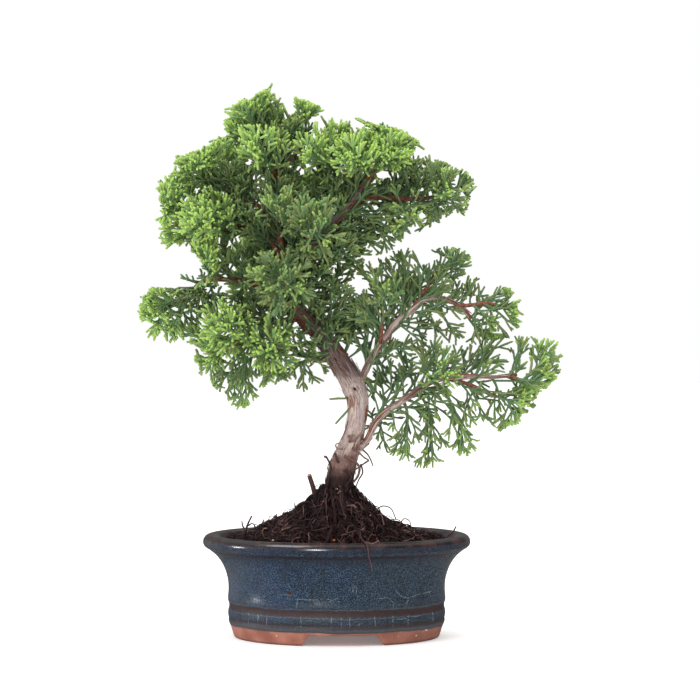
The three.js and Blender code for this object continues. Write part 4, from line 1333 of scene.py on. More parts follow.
# %% Scale leaves from old to new
def foliage_finish():
    finish = Finish("scale_leaves")
    tone = finish.attribute("tone")
    along = finish.attribute("along")
    scales = finish.cells(0.95)
    patches = finish.noise(0.07, 2.0)
    chance = finish.attribute("turn") / (2 * math.pi)
    body = finish.node("ShaderNodeValToRGB", {"stops": [
        (0.0, srgb(99, 107, 72)), (0.3, srgb(113, 130, 84)), (0.6, srgb(138, 168, 102)),
        (0.9, srgb(172, 207, 122))]}, {0: tone * 0.95 + (patches - 0.5) * 0.3 + (scales - 0.5) * 0.14})
    blueish = finish.blend(0.5, body, srgb(88, 134, 92))
    olive = finish.blend(0.4, body, srgb(140, 154, 82))
    body = finish.blend(chance.step(0.1, 0.9), blueish, olive)
    young = along.step(0.3, 1.0) * tone.step(0.08, 0.62)
    bare = finish.blend(young * 0.72, body, srgb(174, 208, 92))
    return finish.shade(Base_Color=bare, Roughness=0.5 + scales * 0.2, Specular_IOR_Level=0.35,
                        Normal=finish.bump(scales, 0.35, 0.6))


scale_leaves = foliage_finish()
print("foliage finish:", len(scale_leaves.node_tree.nodes), "nodes")

# %% [markdown]
# ## Foliage: planting the cords
# The guide of a spray holds two things: the paths of its stems and side shoots, and the feet of its
# cords, each with a direction and a size. The tree sweeps the first, plants a cord on each of the
# second, and turns everything into one plain mesh.

# %% The tree that grows a spray
def spray_group():
    group, tree, given = geometry_group("grow_spray", {
        "Cords": "NodeSocketCollection", "Sides": "NodeSocketInt", "Seed": "NodeSocketInt",
        "Finish": "NodeSocketMaterial"})
    planted = tree.node("ShaderNodeMath", {"operation": "GREATER_THAN"},
                        {0: named(tree, "planted"), 1: 0.5})
    parts = tree.tree.nodes.new("GeometryNodeSeparateGeometry")
    tree.tree.links.new(given["Guide"].socket, parts.inputs["Geometry"])
    tree.tree.links.new(planted.socket, parts.inputs["Selection"])
    feet, paths = Wire(tree, parts.outputs["Selection"]), Wire(tree, parts.outputs["Inverted"])
    stems = swept(tree, paths, given["Sides"])
    shapes = tree.node("GeometryNodeCollectionInfo", None, {
        "Collection": given["Cords"], "Separate Children": True, "Reset Children": True})
    pick = tree.node("FunctionNodeRandomValue", {"data_type": "INT"}, {
        4: 0, 5: len(CORD_BENDS) - 1, "Seed": given["Seed"]}, 2)
    aim = tree.node("FunctionNodeAlignRotationToVector", {"axis": "Z"},
                    {"Vector": named(tree, "way", "FLOAT_VECTOR")})
    turn = tree.node("FunctionNodeAxisAngleToRotation", None,
                     {"Axis": (0, 0, 1), "Angle": named(tree, "turn")})
    rolled = tree.node("FunctionNodeRotateRotation", {"rotation_space": "LOCAL"},
                       {"Rotation": aim, "Rotate By": turn})
    cords = tree.node("GeometryNodeInstanceOnPoints", None, {
        "Points": feet, "Instance": shapes, "Pick Instance": True, "Instance Index": pick,
        "Rotation": rolled, "Scale": named(tree, "size", "FLOAT_VECTOR")})
    joined = tree.tree.nodes.new("GeometryNodeJoinGeometry")
    for part in (stems, cords):
        tree.tree.links.new(part.socket, joined.inputs[0])
    ends_in(tree, Wire(tree, joined.outputs[0]), given["Finish"])
    return group


grow_spray = spray_group()
print("spray tree:", len(grow_spray.nodes), "nodes")

# %% [markdown]
# ## Foliage: how a spray branches
# Shoots leave the stem one after another, each turned by the golden angle from the last, and lean
# forward and up to the light. Cords leave the shoots on alternate sides, and short stubs leave the
# cords near their tips. Towards the tip of the stem everything gets shorter, and the stubs crowd into
# a tuft. In the shade on the right the shoots are longer and stand further apart.
#
# Growth alone doesn't give this tree's crown. So a cord or shoot that would stick out of the crown's
# outline, or reach into one of its clearings, is cut shorter or left out, and most of those that would
# cover a stretch of bark that shows are left out as well.

# %% Growth rules
GOLDEN_ANGLE = math.radians(137.5)
GROWTH_SEED = 4711
HEARTS = np.array([[-30.0, 0, 230], [60.0, 0, 185]])

HABITS = {
    "dense": {"pitch": 3.1, "shoot": (24, 9), "spread": (60, 36), "bare": 0.14, "cord_pitch": 3.3,
              "cord": (12.5, 9.4), "stubs": 1.9, "stub": 6.0, "tuft": 2, "lift": 0.36, "girth": 0.9,
              "tone": (0.3, 0.84), "reach": -3.5},
    "front": {"pitch": 3.5, "shoot": (24, 10), "spread": (56, 36), "bare": 0.14, "cord_pitch": 3.8,
              "cord": (13.5, 10), "stubs": 1.7, "stub": 6.0, "tuft": 2, "lift": 0.3, "girth": 0.88,
              "tone": (0.05, 0.5), "reach": -3.5},
    "tufted": {"pitch": 4.2, "shoot": (20, 9), "spread": (48, 34), "bare": 0.3, "cord_pitch": 3.8,
               "cord": (11.5, 8), "stubs": 1.7, "stub": 5.6, "tuft": 3, "lift": 0.25, "girth": 0.86,
               "tone": (0.08, 0.84), "reach": -3.0},
    "open": {"pitch": 5.0, "shoot": (23, 8), "spread": (52, 34), "bare": 0.26, "cord_pitch": 4.8,
             "cord": (12, 8), "stubs": 1.4, "stub": 5.0, "tuft": 2, "lift": 0.22, "girth": 0.84,
             "tone": (0.06, 0.56), "reach": -3.0},
    "hanging": {"pitch": 4.4, "shoot": (20, 9), "spread": (42, 30), "bare": 0.4, "cord_pitch": 4.4,
                "cord": (12, 7.5), "stubs": 1, "stub": 4.2, "tuft": 2, "lift": -0.1, "girth": 0.72,
                "tone": (0.08, 0.4), "reach": 1.0},
    "inner": {"pitch": 3.8, "shoot": (16, 8), "spread": (54, 36), "bare": 0.25, "cord_pitch": 3.4,
              "cord": (11, 7), "stubs": 1, "stub": 4.2, "tuft": 2, "lift": 0.2, "girth": 0.76,
              "tone": (0.04, 0.34), "reach": -2.0},
    "airy": {"pitch": 7.5, "shoot": (20, 10), "spread": (50, 32), "bare": 0.3, "cord_pitch": 5.2,
             "cord": (13, 9), "stubs": 0.8, "stub": 4.6, "tuft": 1, "lift": 0.2, "girth": 0.74,
             "tone": (0.04, 0.34), "reach": -2.0},
}
STEM_END = 7.5
LEAST_SHOOT = 4.0
# Middles and half-widths along x and z of the gaps in the crown, in millimetres.
CLEARINGS = [((-100, 219), (27, 10)), ((74, 241), (22, 7.5)), ((56, 232), (6.5, 8)),
             ((-48.9, 328), (2.2, 6)), ((-28.5, 319), (2.6, 6))]
# The crown is trimmed to this outline: height, then where it ends on the left and on the right. These
# numbers and the next list were not chosen by hand: they follow a program's measurement of the crown's
# silhouette, one row every 8.4 mm with some between, adjusted afterwards. A few lobes chosen by hand
# ought to take their place.
CROWN_OUTLINE = [
    (90, -20, 72), (102, -30, 68), (111, -45, 83), (119, -60, 86), (127, -66, 108), (136, -67, 115),
    (144, -68, 120), (153, -75, 131), (161, -83, 134), (169, -86, 132), (175, -98, 131), (178, -112, 129),
    (181, -116, 118), (186, -117, 111), (195, -118, 109), (203, -116, 106), (211, -110, 97),
    (220, -104, 84), (228, -103, 80), (233, -104, 74), (237, -105, 62), (245, -108, 60), (253, -104, 77),
    (262, -103, 77), (270, -106, 83), (278, -98, 80), (283, -97, 66), (287, -96, 57), (291, -84, 53),
    (295, -73, 49), (303, -66, 39), (308, -68, 16), (312, -69, 5), (316, -64, -6), (320, -58, -16),
    (325, -48, -30), (329, -40, -36), (331, -38, -38),
]
# Its lower edge left of the trunk, from the same kind of measurement, thinned and rounded: how far from
# the middle, and the lowest height there.
CROWN_SKIRT = [(-90, 168), (-80, 151), (-70, 148), (-60, 137), (-50, 138), (-40, 154), (-32, 156),
               (-22, 146), (-12, 154), (-4, 143)]
TRIM = 1.2
RAGGED = 4.5
RAGGED_SIZE = 5
LEAST_CORD = 2
TRIM_STEP = 0.8
STUB_LEANS = (24, 38)
TUFT_LEANS = (18, 40)
CORD_LEANS = (28, 42)
CORD_TURN = math.radians(172)
# Wood that shows between the leaves: a limb, the stretch of it, and how wide the view is on each side.
SHOWN_WOOD = [("leader", 0.58, 1.0, 3.8), ("lobe", 0.1, 0.7, 2.8), ("trunk_shaggy", 0.1, 0.95, 5.5),
              ("apex", 0.55, 1.0, 2.4), ("tuft", 0.4, 0.9, 2.2), ("shoulder", 0.0, 0.4, 3.0),
              ("side", 0.1, 0.45, 2.6)]
STRAYS = 0.14
CROWN_MIDDLE = np.array([0.0, 0.0, 215.0])
CROWN_REACH = np.array([120.0, 90.0, 108.0])
OPEN_LIMBS = ("lobe", "arch", "arch_up", "arch_far", "arch_back", "arch_front", "wide", "low_right")
FRONT_LIMBS = ("front_high", "front_low")
TUFTED_NODES = ("spray_arch_1", "spray_arch_far_1", "spray_wide_1", "spray_wide_2", "spray_low_right_1")
HANGING_NODES = ("spray_wide_4", "spray_wide_5", "spray_wide_6", "spray_low_2", "spray_low_3",
                 "spray_low_middle_2", "spray_low_middle_3")


def habit_of(node, limb):
    if node in HANGING_NODES:
        return HABITS["hanging"]
    if node in TUFTED_NODES:
        return HABITS["tufted"]
    if limb in FRONT_LIMBS:
        return HABITS["front"]
    return HABITS["open" if limb in OPEN_LIMBS else "dense"]


def across(direction, angle):
    """A direction square to another, turned round it by an angle."""
    u = unit(np.cross(direction, UP if abs(direction[2]) < 0.9 else (1.0, 0, 0)))
    return math.cos(angle) * u + math.sin(angle) * np.cross(direction, u)


def leaning(along, out, angle):
    return math.cos(angle) * along + math.sin(angle) * out


def seen(point):
    """Where the camera sees a point, as x and z in the plane of the trunk."""
    nearer = CAMERA_DISTANCE / (CAMERA_DISTANCE + point[1])
    return (CAMERA_ASIDE + (point[0] - CAMERA_ASIDE) * nearer,
            CAMERA_HEIGHT + (point[2] - CAMERA_HEIGHT) * nearer)


def outgrown(point):
    """Whether a point sticks out of the crown's outline, as it is seen from the front."""
    x, z = seen(point)
    heights, lefts, rights = zip(*CROWN_OUTLINE)
    places, lows = zip(*CROWN_SKIRT)
    trim = TRIM + RAGGED * fractal(x / RAGGED_SIZE, z / RAGGED_SIZE, 7.0)
    if places[0] < x < places[-1] and z < np.interp(x, places, lows) - trim:
        return True
    return not np.interp(z, heights, lefts) - trim < x < np.interp(z, heights, rights) + trim


def wood_rows():
    """Seen x and z, depth and width of view of the points of the wood that shows."""
    rows = []
    for limb, low, high, width in SHOWN_WOOD:
        for share in np.linspace(low, high, 14):
            point = ROUTES[limb].at(share)
            rows.append((*seen(point), point[1], width))
    return np.array(rows)


WOOD_ROWS = wood_rows()


def hides_wood(point):
    x, z = seen(point)
    near = np.hypot(WOOD_ROWS[:, 0] - x, WOOD_ROWS[:, 1] - z) < WOOD_ROWS[:, 3]
    return bool((near & (point[1] < WOOD_ROWS[:, 2])).any())


def in_a_gap(point):
    return any(((point[0] - x) / across_x) ** 2 + ((point[2] - z) / across_z) ** 2 < 1
               for (x, z), (across_x, across_z) in CLEARINGS)


def sunlit(point):
    """0 deep in the crown and 1 at its outside, where the tips are young and yellow."""
    away = (point - CROWN_MIDDLE) / CROWN_REACH
    return float(smooth_step(np.linalg.norm(away), 0.62, 1.02))


def plant(guide, foot, way, length, girth, tone, draw):
    while outgrown(foot + way * length) and length > LEAST_CORD:
        length *= TRIM_STEP
    hides = hides_wood(foot + way * length) or hides_wood(foot + way * length / 2)
    if (length > LEAST_CORD and not in_a_gap(foot + way * length)
            and not (hides and draw.uniform(0, 1) > STRAYS)):
        tone *= mix(0.8, 1.2, sunlit(foot))
        guide.add(foot, tone=tone, way=way, size=(girth * MM, girth * MM, length * MM), planted=1.0,
                  turn=draw.uniform(0, 2 * math.pi))


def grow_cord(guide, foot, way, length, tone, habit, draw):
    """A straight cord with stubs forking off on alternate sides near its tip."""
    girth = habit["girth"] * draw.uniform(0.88, 1.12)
    plant(guide, foot, way, length, girth, tone, draw)
    turn = draw.uniform(0, 2 * math.pi)
    for k in range(int(habit["stubs"] + draw.uniform(0, 1))):
        share = 0.62 - 0.26 * k + draw.uniform(-0.1, 0.1)
        out = across(way, turn + k * math.pi + draw.uniform(-0.4, 0.4))
        stub_lean = math.radians(draw.uniform(*STUB_LEANS))
        stub_way = unit(leaning(way, out, stub_lean) + 0.15 * habit["lift"] * UP)
        stub = min(habit["stub"] * draw.uniform(0.75, 1.25), length * 0.7)
        plant(guide, foot + way * length * share, stub_way, stub, girth * 0.96, tone + draw.uniform(0, 0.1),
              draw)


def grow_tuft(guide, foot, way, length, tone, habit, draw):
    """Short blunt cords that crowd round the end of a shoot."""
    turn = draw.uniform(0, 2 * math.pi)
    for k in range(habit["tuft"]):
        out = across(way, turn + k * GOLDEN_ANGLE)
        short = length * draw.uniform(0.7, 1.1)
        aim = unit(leaning(way, out, math.radians(draw.uniform(*TUFT_LEANS))))
        plant(guide, foot - way * k * 0.7, aim, short, habit["girth"] * 1.04, tone, draw)


def grow_shoot(guide, foot, way, length, tone, habit, draw):
    """A side shoot: a swept path that bends to the light, with cords on alternate sides."""
    tip = foot + way * length
    while (outgrown(tip) or in_a_gap(tip)) and length > LEAST_SHOOT:
        length *= TRIM_STEP
        tip = foot + way * length
    heart = HEARTS[np.linalg.norm(HEARTS - foot, axis=1).argmin()]
    light = 0.7 * habit["lift"] * UP + 0.2 * unit(foot - heart)
    path = Bow(foot, foot + way * length * 0.5, foot + length * unit(way + light))
    points = path.between(0, 1, 4)
    guide.strand(points, np.linspace(0.68, 0.55, 5), np.linspace(tone * 0.6, tone, 5))
    turn = draw.uniform(0, 2 * math.pi)
    count = max(2, round(length * (1 - habit["bare"]) / habit["cord_pitch"]))
    for k in range(count):
        share = habit["bare"] + (1 - habit["bare"]) * (k + 0.5) / count
        along = path.along(share)
        out = across(along, turn + k * CORD_TURN + draw.uniform(-0.35, 0.35))
        cord_way = unit(leaning(along, out, math.radians(draw.uniform(*CORD_LEANS))) + 0.15 * light)
        cord = min(mix(*habit["cord"], share), length) * draw.uniform(0.75, 1.2)
        grow_cord(guide, path.at(share), cord_way, cord,
                  tone * mix(0.85, 1.1, share) + draw.uniform(-0.06, 0.06), habit, draw)
    tip = min(habit["cord"][1], length) * draw.uniform(0.75, 1.0)
    plant(guide, path.at(0.97), path.along(1), tip, habit["girth"], tone * 1.15, draw)
    grow_tuft(guide, path.at(0.95), path.along(1), tip, tone * 1.25 + 0.04, habit, draw)


def grow_stem(guide, curve, start, habit, draw):
    """A green stem with its shoots, which stops a little short of its tip to leave room for them."""
    length = np.linalg.norm(curve.at(1) - curve.at(start))
    end = 1 - (STEM_END - habit["reach"]) / max(length, 22)
    low, high = habit["tone"]
    guide.strand(curve.between(start, end, 10), np.linspace(0.95, 0.6, 11), np.linspace(0.05, low, 11))
    count = round(length / habit["pitch"])
    turn = draw.uniform(0, 2 * math.pi)
    for k in range(count):
        share = mix(start + 0.03, end, (k + 0.5) / count)
        turn += GOLDEN_ANGLE + draw.uniform(-0.3, 0.3)
        along = curve.along(share)
        spread = math.radians(mix(*habit["spread"], share) + draw.uniform(-8, 8))
        way = unit(leaning(along, across(along, turn), spread) + 0.5 * habit["lift"] * UP)
        shoot = mix(*habit["shoot"], share ** 0.8) * draw.uniform(0.7, 1.1)
        shoot = min(shoot, max(LEAST_SHOOT, (1 - share) * length + habit["reach"]))
        grow_shoot(guide, curve.at(share), way, shoot, mix(low, high, share), habit, draw)
    grow_shoot(guide, curve.at(end), curve.along(1), habit["shoot"][1] * 0.6, high, habit, draw)


def leafy_piece(name, guide, index, replaced=()):
    piece = guide.object(name)
    grow(piece, grow_spray, Cords=cord_shapes, Sides=5, Seed=index, Finish=scale_leaves)
    return finished(piece, scale_leaves, replaced)


def make_spray(index, node, limb, stems):
    draw = np.random.default_rng(GROWTH_SEED + index)
    guide = Guide()
    for curve, start in stems:
        grow_stem(guide, curve, start, habit_of(node, limb), draw)
    return leafy_piece(node.replace("spray", "leafy"), guide, index, [node])


total = 0
for index, (node, limb, stems) in enumerate(sprays):
    total += triangles(make_spray(index, node, limb, stems))
print("foliage:", total, "triangles in", len(sprays), "sprays")

# %% [markdown]
# ## Foliage: inside the canopy
# Between the sprays the thin limbs carry smaller branchlets of their own. They are older and darker,
# and one hardly sees them one by one, but without them daylight would show through the whole crown.
# They follow their limb at an even pitch, each turned a random way round it, and a few that fill a
# known gap are aimed at listed tips.

# %% Branchlets along the limbs
INNER_PITCH = 5.5
AIRY_PITCH = 10.0
INNER_LIMBS = {
    "leader": (0.1, 0.9), "apex": (0.1, 0.85), "tuft": (0.1, 0.7), "crown_left": (0.1, 0.7),
    "crown_right": (0.1, 0.6), "lobe": (0.1, 0.85), "shoulder": (0.1, 0.85), "side": (0.1, 0.85),
    "far": (0.15, 0.9), "low": (0.15, 0.9), "low_middle": (0.2, 0.8), "front_high": (0.1, 0.8),
    "front_low": (0.1, 0.8), "back_high": (0.1, 0.8), "back_low": (0.1, 0.8), "arch": (0.2, 0.95),
    "arch_up": (0.1, 0.8), "arch_far": (0.2, 0.8), "arch_back": (0.2, 0.9), "arch_front": (0.2, 0.8),
    "wide": (0.42, 0.92), "low_right": (0.1, 0.8), "trunk_shaggy": (0.35, 0.95),
}
BACKED_LIMBS = ("arch", "wide")
AIRY_LIMBS = ("arch", "arch_up", "arch_far", "arch_back", "arch_front", "wide", "low_right")
INNER_AIMED = [
    ("trunk_shaggy", 0.3, (20, 10, 196)), ("trunk_shaggy", 0.45, (14, 14, 206)),
    ("trunk_shaggy", 0.6, (6, -16, 214)), ("trunk_shaggy", 0.75, (10, 10, 226)),
    ("leader", 0.15, (-2, -14, 222)), ("leader", 0.3, (2, 14, 230)), ("leader", 0.45, (16, -12, 232)),
    ("leader", 0.6, (24, 10, 240)), ("leader", 0.75, (34, -10, 246)), ("leader", 0.85, (30, 16, 252)),
    ("arch", 0.1, (24, 14, 190)), ("arch", 0.18, (14, 12, 200)), ("arch", 0.28, (22, 8, 212)),
    ("arch", 0.36, (36, 14, 218)), ("arch", 0.45, (30, 16, 226)), ("arch", 0.3, (48, 12, 172)),
    ("arch", 0.4, (56, 10, 178)), ("arch", 0.5, (64, 12, 182)), ("arch", 0.6, (72, 10, 176)),
    ("wide", 0.3, (40, 10, 162)), ("wide", 0.4, (44, 14, 170)), ("wide", 0.48, (58, 12, 174)),
    ("wide", 0.56, (62, -12, 176)), ("wide", 0.8, (96, 12, 180)),
    ("wide", 0.35, (24, 14, 158)), ("lobe", 0.3, (36, 16, 244)), ("lobe", 0.5, (56, -12, 248)),
    ("arch_up", 0.6, (78, 12, 216)), ("arch_far", 0.4, (92, -14, 184)),
    ("wide", 0.26, (30, 8, 128)), ("wide", 0.3, (26, 12, 118)), ("leader", 0.7, (22, 8, 234)),
    ("leader", 0.8, (34, 6, 232)), ("leader", 0.6, (14, 12, 226)), ("lobe", 0.25, (40, 8, 236)),
    ("leader", 0.5, (-12, 8, 278)), ("leader", 0.7, (-4, -8, 276)), ("crown_right", 0.4, (46, 8, 280)),
    ("lobe", 0.4, (48, 8, 280)), ("far", 0.5, (-64, -10, 196)), ("far", 0.6, (-72, 8, 198)),
    ("wide", 0.78, (84, -6, 136)), ("wide", 0.88, (98, 8, 134)), ("wide", 0.95, (112, -8, 178)),
    ("low_right", 0.4, (88, 6, 128)), ("arch", 0.2, (34, 16, 158)), ("arch", 0.25, (28, 14, 150)),
    ("arch", 0.36, (18, 4, 224)), ("leader", 0.5, (18, 2, 222)), ("leader", 0.6, (28, 6, 236)),
    ("arch", 0.42, (40, 6, 231)), ("lobe", 0.9, (75, -4, 252)), ("arch_far", 0.8, (107, -6, 184)),
    ("wide", 0.4, (35, -12, 128)), ("wide", 0.6, (62, -10, 130)), ("leader", 0.25, (6, 8, 212)),
    ("shoulder", 0.85, (-86, -6, 268)), ("side", 0.7, (-80, 10, 264)), ("shoulder", 0.5, (-58, -8, 277)),
    ("tuft", 0.3, (-20, -4, 283)), ("side", 0.5, (-70, -12, 237)), ("side", 0.6, (-84, -10, 256)),
    ("shoulder", 0.8, (-82, -2, 274)), ("side", 0.5, (-60, 2, 252)), ("side", 0.4, (-63, 8, 245)),
    ("side", 0.7, (-98, -6, 238)), ("side", 0.6, (-87, -8, 236)), ("apex", 0.6, (-56, 0, 318)),
    ("apex", 0.85, (-38, 0, 326)), ("far", 0.2, (-42, -18, 216)), ("far", 0.3, (-54, -18, 209)),
    ("leader", 0.2, (-40, -18, 208)),
]
# Single cords that stand on the bare trunk: the limb, where, which way and how long.
LONE_CORDS = [("trunk_shaggy", (6, -3, 142.8), (-1, 0, 0.02), 11),
              ("trunk_shaggy", (7.6, -4, 137), (-0.62, 0, -0.78), 13)]


def grow_inner(guide, limb, station, draw, tip=None):
    """A branchlet on a limb; without a tip it goes where the limb's turn and the light send it."""
    route = ROUTES[limb]
    foot, along = route.at(station), route.along(station)
    if tip is None:
        side_way = across(along, draw.uniform(0, 2 * math.pi))
        way = unit(leaning(along, side_way, math.radians(60)) + 0.35 * UP)
        if limb in BACKED_LIMBS:
            way[1] = abs(way[1])
        tip = foot + way * draw.uniform(0.85, 1.15) * mix(30, 13, station) + 3 * UP
    reach = np.linalg.norm(tip - foot)
    curve = Bow(foot, foot + unit(unit(tip - foot) + 0.5 * along) * reach * 0.45, tip)
    grow_stem(guide, curve, 0.02, HABITS["airy" if limb in AIRY_LIMBS else "inner"], draw)


def make_inner(index, limb, span):
    draw = np.random.default_rng(GROWTH_SEED * 2 + index)
    guide = Guide()
    low, high = span
    length = run_length(ROUTES[limb].sampled(40)) * (high - low)
    pitch = AIRY_PITCH if limb in AIRY_LIMBS else INNER_PITCH
    for station in np.linspace(low, high, max(2, round(length / pitch)), endpoint=False):
        grow_inner(guide, limb, float(station), draw)
    for aimed, station, tip in INNER_AIMED:
        if aimed == limb:
            grow_inner(guide, limb, station, draw, np.array(tip, float))
    for bearer, foot, way, length in LONE_CORDS:
        if bearer == limb:
            plant(guide, np.array(foot, float), unit(np.array(way, float)), length, 0.8, 0.2, draw)
    return leafy_piece(f"inner_{limb}", guide, index)


inner_total = 0
for index, (limb, span) in enumerate(INNER_LIMBS.items()):
    inner_total += triangles(make_inner(index, limb, span))
print("inside:", inner_total, "triangles on", len(INNER_LIMBS), "limbs")
for shape in list(cord_shapes.objects):
    bpy.data.objects.remove(shape)
bpy.data.collections.remove(cord_shapes)

# %% [markdown]
# ## Soil: the mound
# The root ball stands proud of the pot. It is a steep mound of dark fibrous soil at the trunk that
# runs out flat to the wall. Its height follows the frame's mound, and crumbs of several sizes roughen
# it.

# %% The mound
MOUND = [(0, 92), (0.14, 90.5), (0.2, 86), (0.28, 80.5), (0.38, 75.5), (0.5, 71), (0.66, 66.5), (0.84, 62),
         (1, 58)]
MOUND_REACH = 68.3
SOIL_SIDES = 260
SOIL_SEED = 77


def mound_point(share, angle):
    """A point of the frame's mound, from its share of the way to the wall and its angle."""
    heights = np.interp(share, [s for s, h in MOUND], [h for s, h in MOUND])
    x = share * MOUND_REACH * math.cos(angle)
    y = share * MOUND_REACH * mix(1, POT_RATIO, share) * math.sin(angle) + 0.5
    fade = max(0, math.sin(math.pi * min(1, share * 1.04))) ** 0.5
    relief = fade * (1.1 * math.sin(3 * angle + 9 * share) + 0.8 * math.sin(7 * angle - 14 * share + 1)
                     + 0.5 * math.sin(13 * angle + 23 * share + 2))
    sag = (0.8 + 1.6 * smooth_step(x, 5, 30)) * smooth_step(share, 0.16, 0.34)
    sag = sag * (1 - smooth_step(share, 0.8, 0.95))
    return np.array([x, y, heights + relief - sag])


def make_mound():
    shares = np.concatenate([np.linspace(0.11, 0.985, 92), [1.0]])
    points = [mound_point(share, 2 * math.pi * i / SOIL_SIDES)
              for share in shares for i in range(SOIL_SIDES)]
    rows = len(shares)
    for half_length, height in ((64, 46), (58.6, 30), (57, 17), (54, 13.5)):
        for i in range(SOIL_SIDES):
            angle = 2 * math.pi * i / SOIL_SIDES
            points.append(np.array([(half_length - 0.4) * math.cos(angle),
                                    (half_length * POT_RATIO - 0.4) * math.sin(angle), height]))
        rows += 1
    for k, point in enumerate(points[:len(shares) * SOIL_SIDES]):
        x, y, z = point
        lumps = fractal(x / 5, y / 5, z / 5, 4)
        crumbs = 1 - 2 * abs(fractal(x / 1.5, y / 1.5, z / 1.5, 3))
        edge = min(1, (len(shares) - k // SOIL_SIDES) / 6)
        points[k] = point + UP * edge * (1.5 * lumps + 1.1 * crumbs - 2.6)
    faces = [face[::-1] for face in capped_rings(rows, SOIL_SIDES)]
    return linked("soil_mound", plain_mesh("soil_mound", points, faces))


def soil_finish():
    finish = Finish("dark_fibrous_soil")
    tone = finish.attribute("tone")
    crumbs = finish.noise(0.7, 5.0, 0.7)
    colour = finish.blend(crumbs.step(0.4, 0.7), srgb(17, 3, 8), srgb(46, 22, 26))
    colour = finish.blend(tone * 0.6, colour, srgb(66, 44, 40))
    colour = finish.blend(finish.noise(1.7, 2.0).step(0.68, 0.76) * 0.3, colour, srgb(96, 72, 66))
    return finish.shade(Base_Color=colour, Roughness=0.85 + crumbs * 0.1, Specular_IOR_Level=0.03,
                        Normal=finish.bump(crumbs, 0.8, 0.9))


soil_look = soil_finish()
mound = make_mound()
finished(mound, soil_look, ["soil"])
print("mound:", triangles(mound), "triangles")

# %% [markdown]
# ## Soil: crumbs
# Soil is grains. A few thousand angular crumbs of several sizes are scattered over the mound by a
# geometry tree, half sunk, so that its edge is rough against the light as well.

# %% The tree that scatters crumbs
CRUMB_SEED = 5
CRUMB_DENSITY = 420000.0
CRUMB_SIZES = (0.3, 1.25)


def crumb_group():
    group, tree, given = geometry_group("scatter_crumbs", {
        "Density": "NodeSocketFloat", "Smallest": "NodeSocketFloat", "Largest": "NodeSocketFloat",
        "Seed": "NodeSocketInt", "Finish": "NodeSocketMaterial"})
    feet = tree.node("GeometryNodeDistributePointsOnFaces", None, {
        "Mesh": given["Guide"], "Density": given["Density"], "Seed": given["Seed"]})
    crumb = tree.node("GeometryNodeMeshIcoSphere", None, {"Radius": 1.0, "Subdivisions": 1})
    turn = tree.node("FunctionNodeRandomValue", {"data_type": "FLOAT_VECTOR"}, {
        0: (0, 0, 0), 1: (6.28, 6.28, 6.28), "Seed": given["Seed"]})
    size = tree.node("FunctionNodeRandomValue", {"data_type": "FLOAT"}, {
        2: given["Smallest"], 3: given["Largest"], "Seed": given["Seed"]}, 1)
    squash = tree.node("FunctionNodeRandomValue", {"data_type": "FLOAT_VECTOR"}, {
        0: (0.6, 0.6, 0.5), 1: (1.3, 1.1, 0.9), "Seed": given["Seed"]})
    scale = tree.node("ShaderNodeVectorMath", {"operation": "SCALE"}, {0: squash, 3: size})
    crumbs = tree.node("GeometryNodeInstanceOnPoints", None, {
        "Points": feet, "Instance": crumb, "Rotation": turn, "Scale": scale})
    shade = tree.node("FunctionNodeRandomValue", {"data_type": "FLOAT"},
                      {2: -1.4, 3: 1.0, "Seed": given["Seed"]}, 1)
    toned = tree.node("GeometryNodeStoreNamedAttribute", {"data_type": "FLOAT", "domain": "INSTANCE"}, {
        "Geometry": crumbs, "Name": "tone", "Value": shade})
    ends_in(tree, toned, given["Finish"])
    return group


def mound_top():
    """The upper side of the mound only, as a place to scatter on."""
    mesh = mound.data.copy()
    rim = bmesh.new()
    rim.from_mesh(mesh)
    hidden = [face for face in rim.faces if face.calc_center_median().z < 57 * MM or face.normal.z < 0.1]
    bmesh.ops.delete(rim, geom=hidden, context="FACES")
    rim.to_mesh(mesh)
    rim.free()
    return linked("soil_crumbs", mesh)


scatter_crumbs = crumb_group()
crumbs = grow(mound_top(), scatter_crumbs, Density=CRUMB_DENSITY, Smallest=CRUMB_SIZES[0] * MM,
              Largest=CRUMB_SIZES[1] * MM, Seed=CRUMB_SEED, Finish=soil_look)
finished(crumbs, soil_look)
print("crumbs:", triangles(crumbs), "triangles")

# %% [markdown]
# ## Soil: roots
# Roots mat the mound. Fine ones wander over it, dip in and out and cross each other; near the rim they
# lie along it. Thicker ones stand up in loops. A few pieces are placed one by one: the sawn stub and the
# bent root beside the trunk, pale rootlets at its right, and the long root that hangs over the rim.

# %% Matted roots
# Thick roots that run out from the trunk: the side in degrees, length, turn off it in radians, radius.
SURFACE_ROOTS = [(20, 52, 0.5, 1.5), (75, 40, -0.4, 1.3), (140, 50, 0.4, 1.6), (200, 54, -0.5, 1.4),
                 (250, 44, 0.5, 1.5), (290, 46, -0.3, 1.3), (335, 54, 0.4, 1.5)]
ORANGE = 1.5
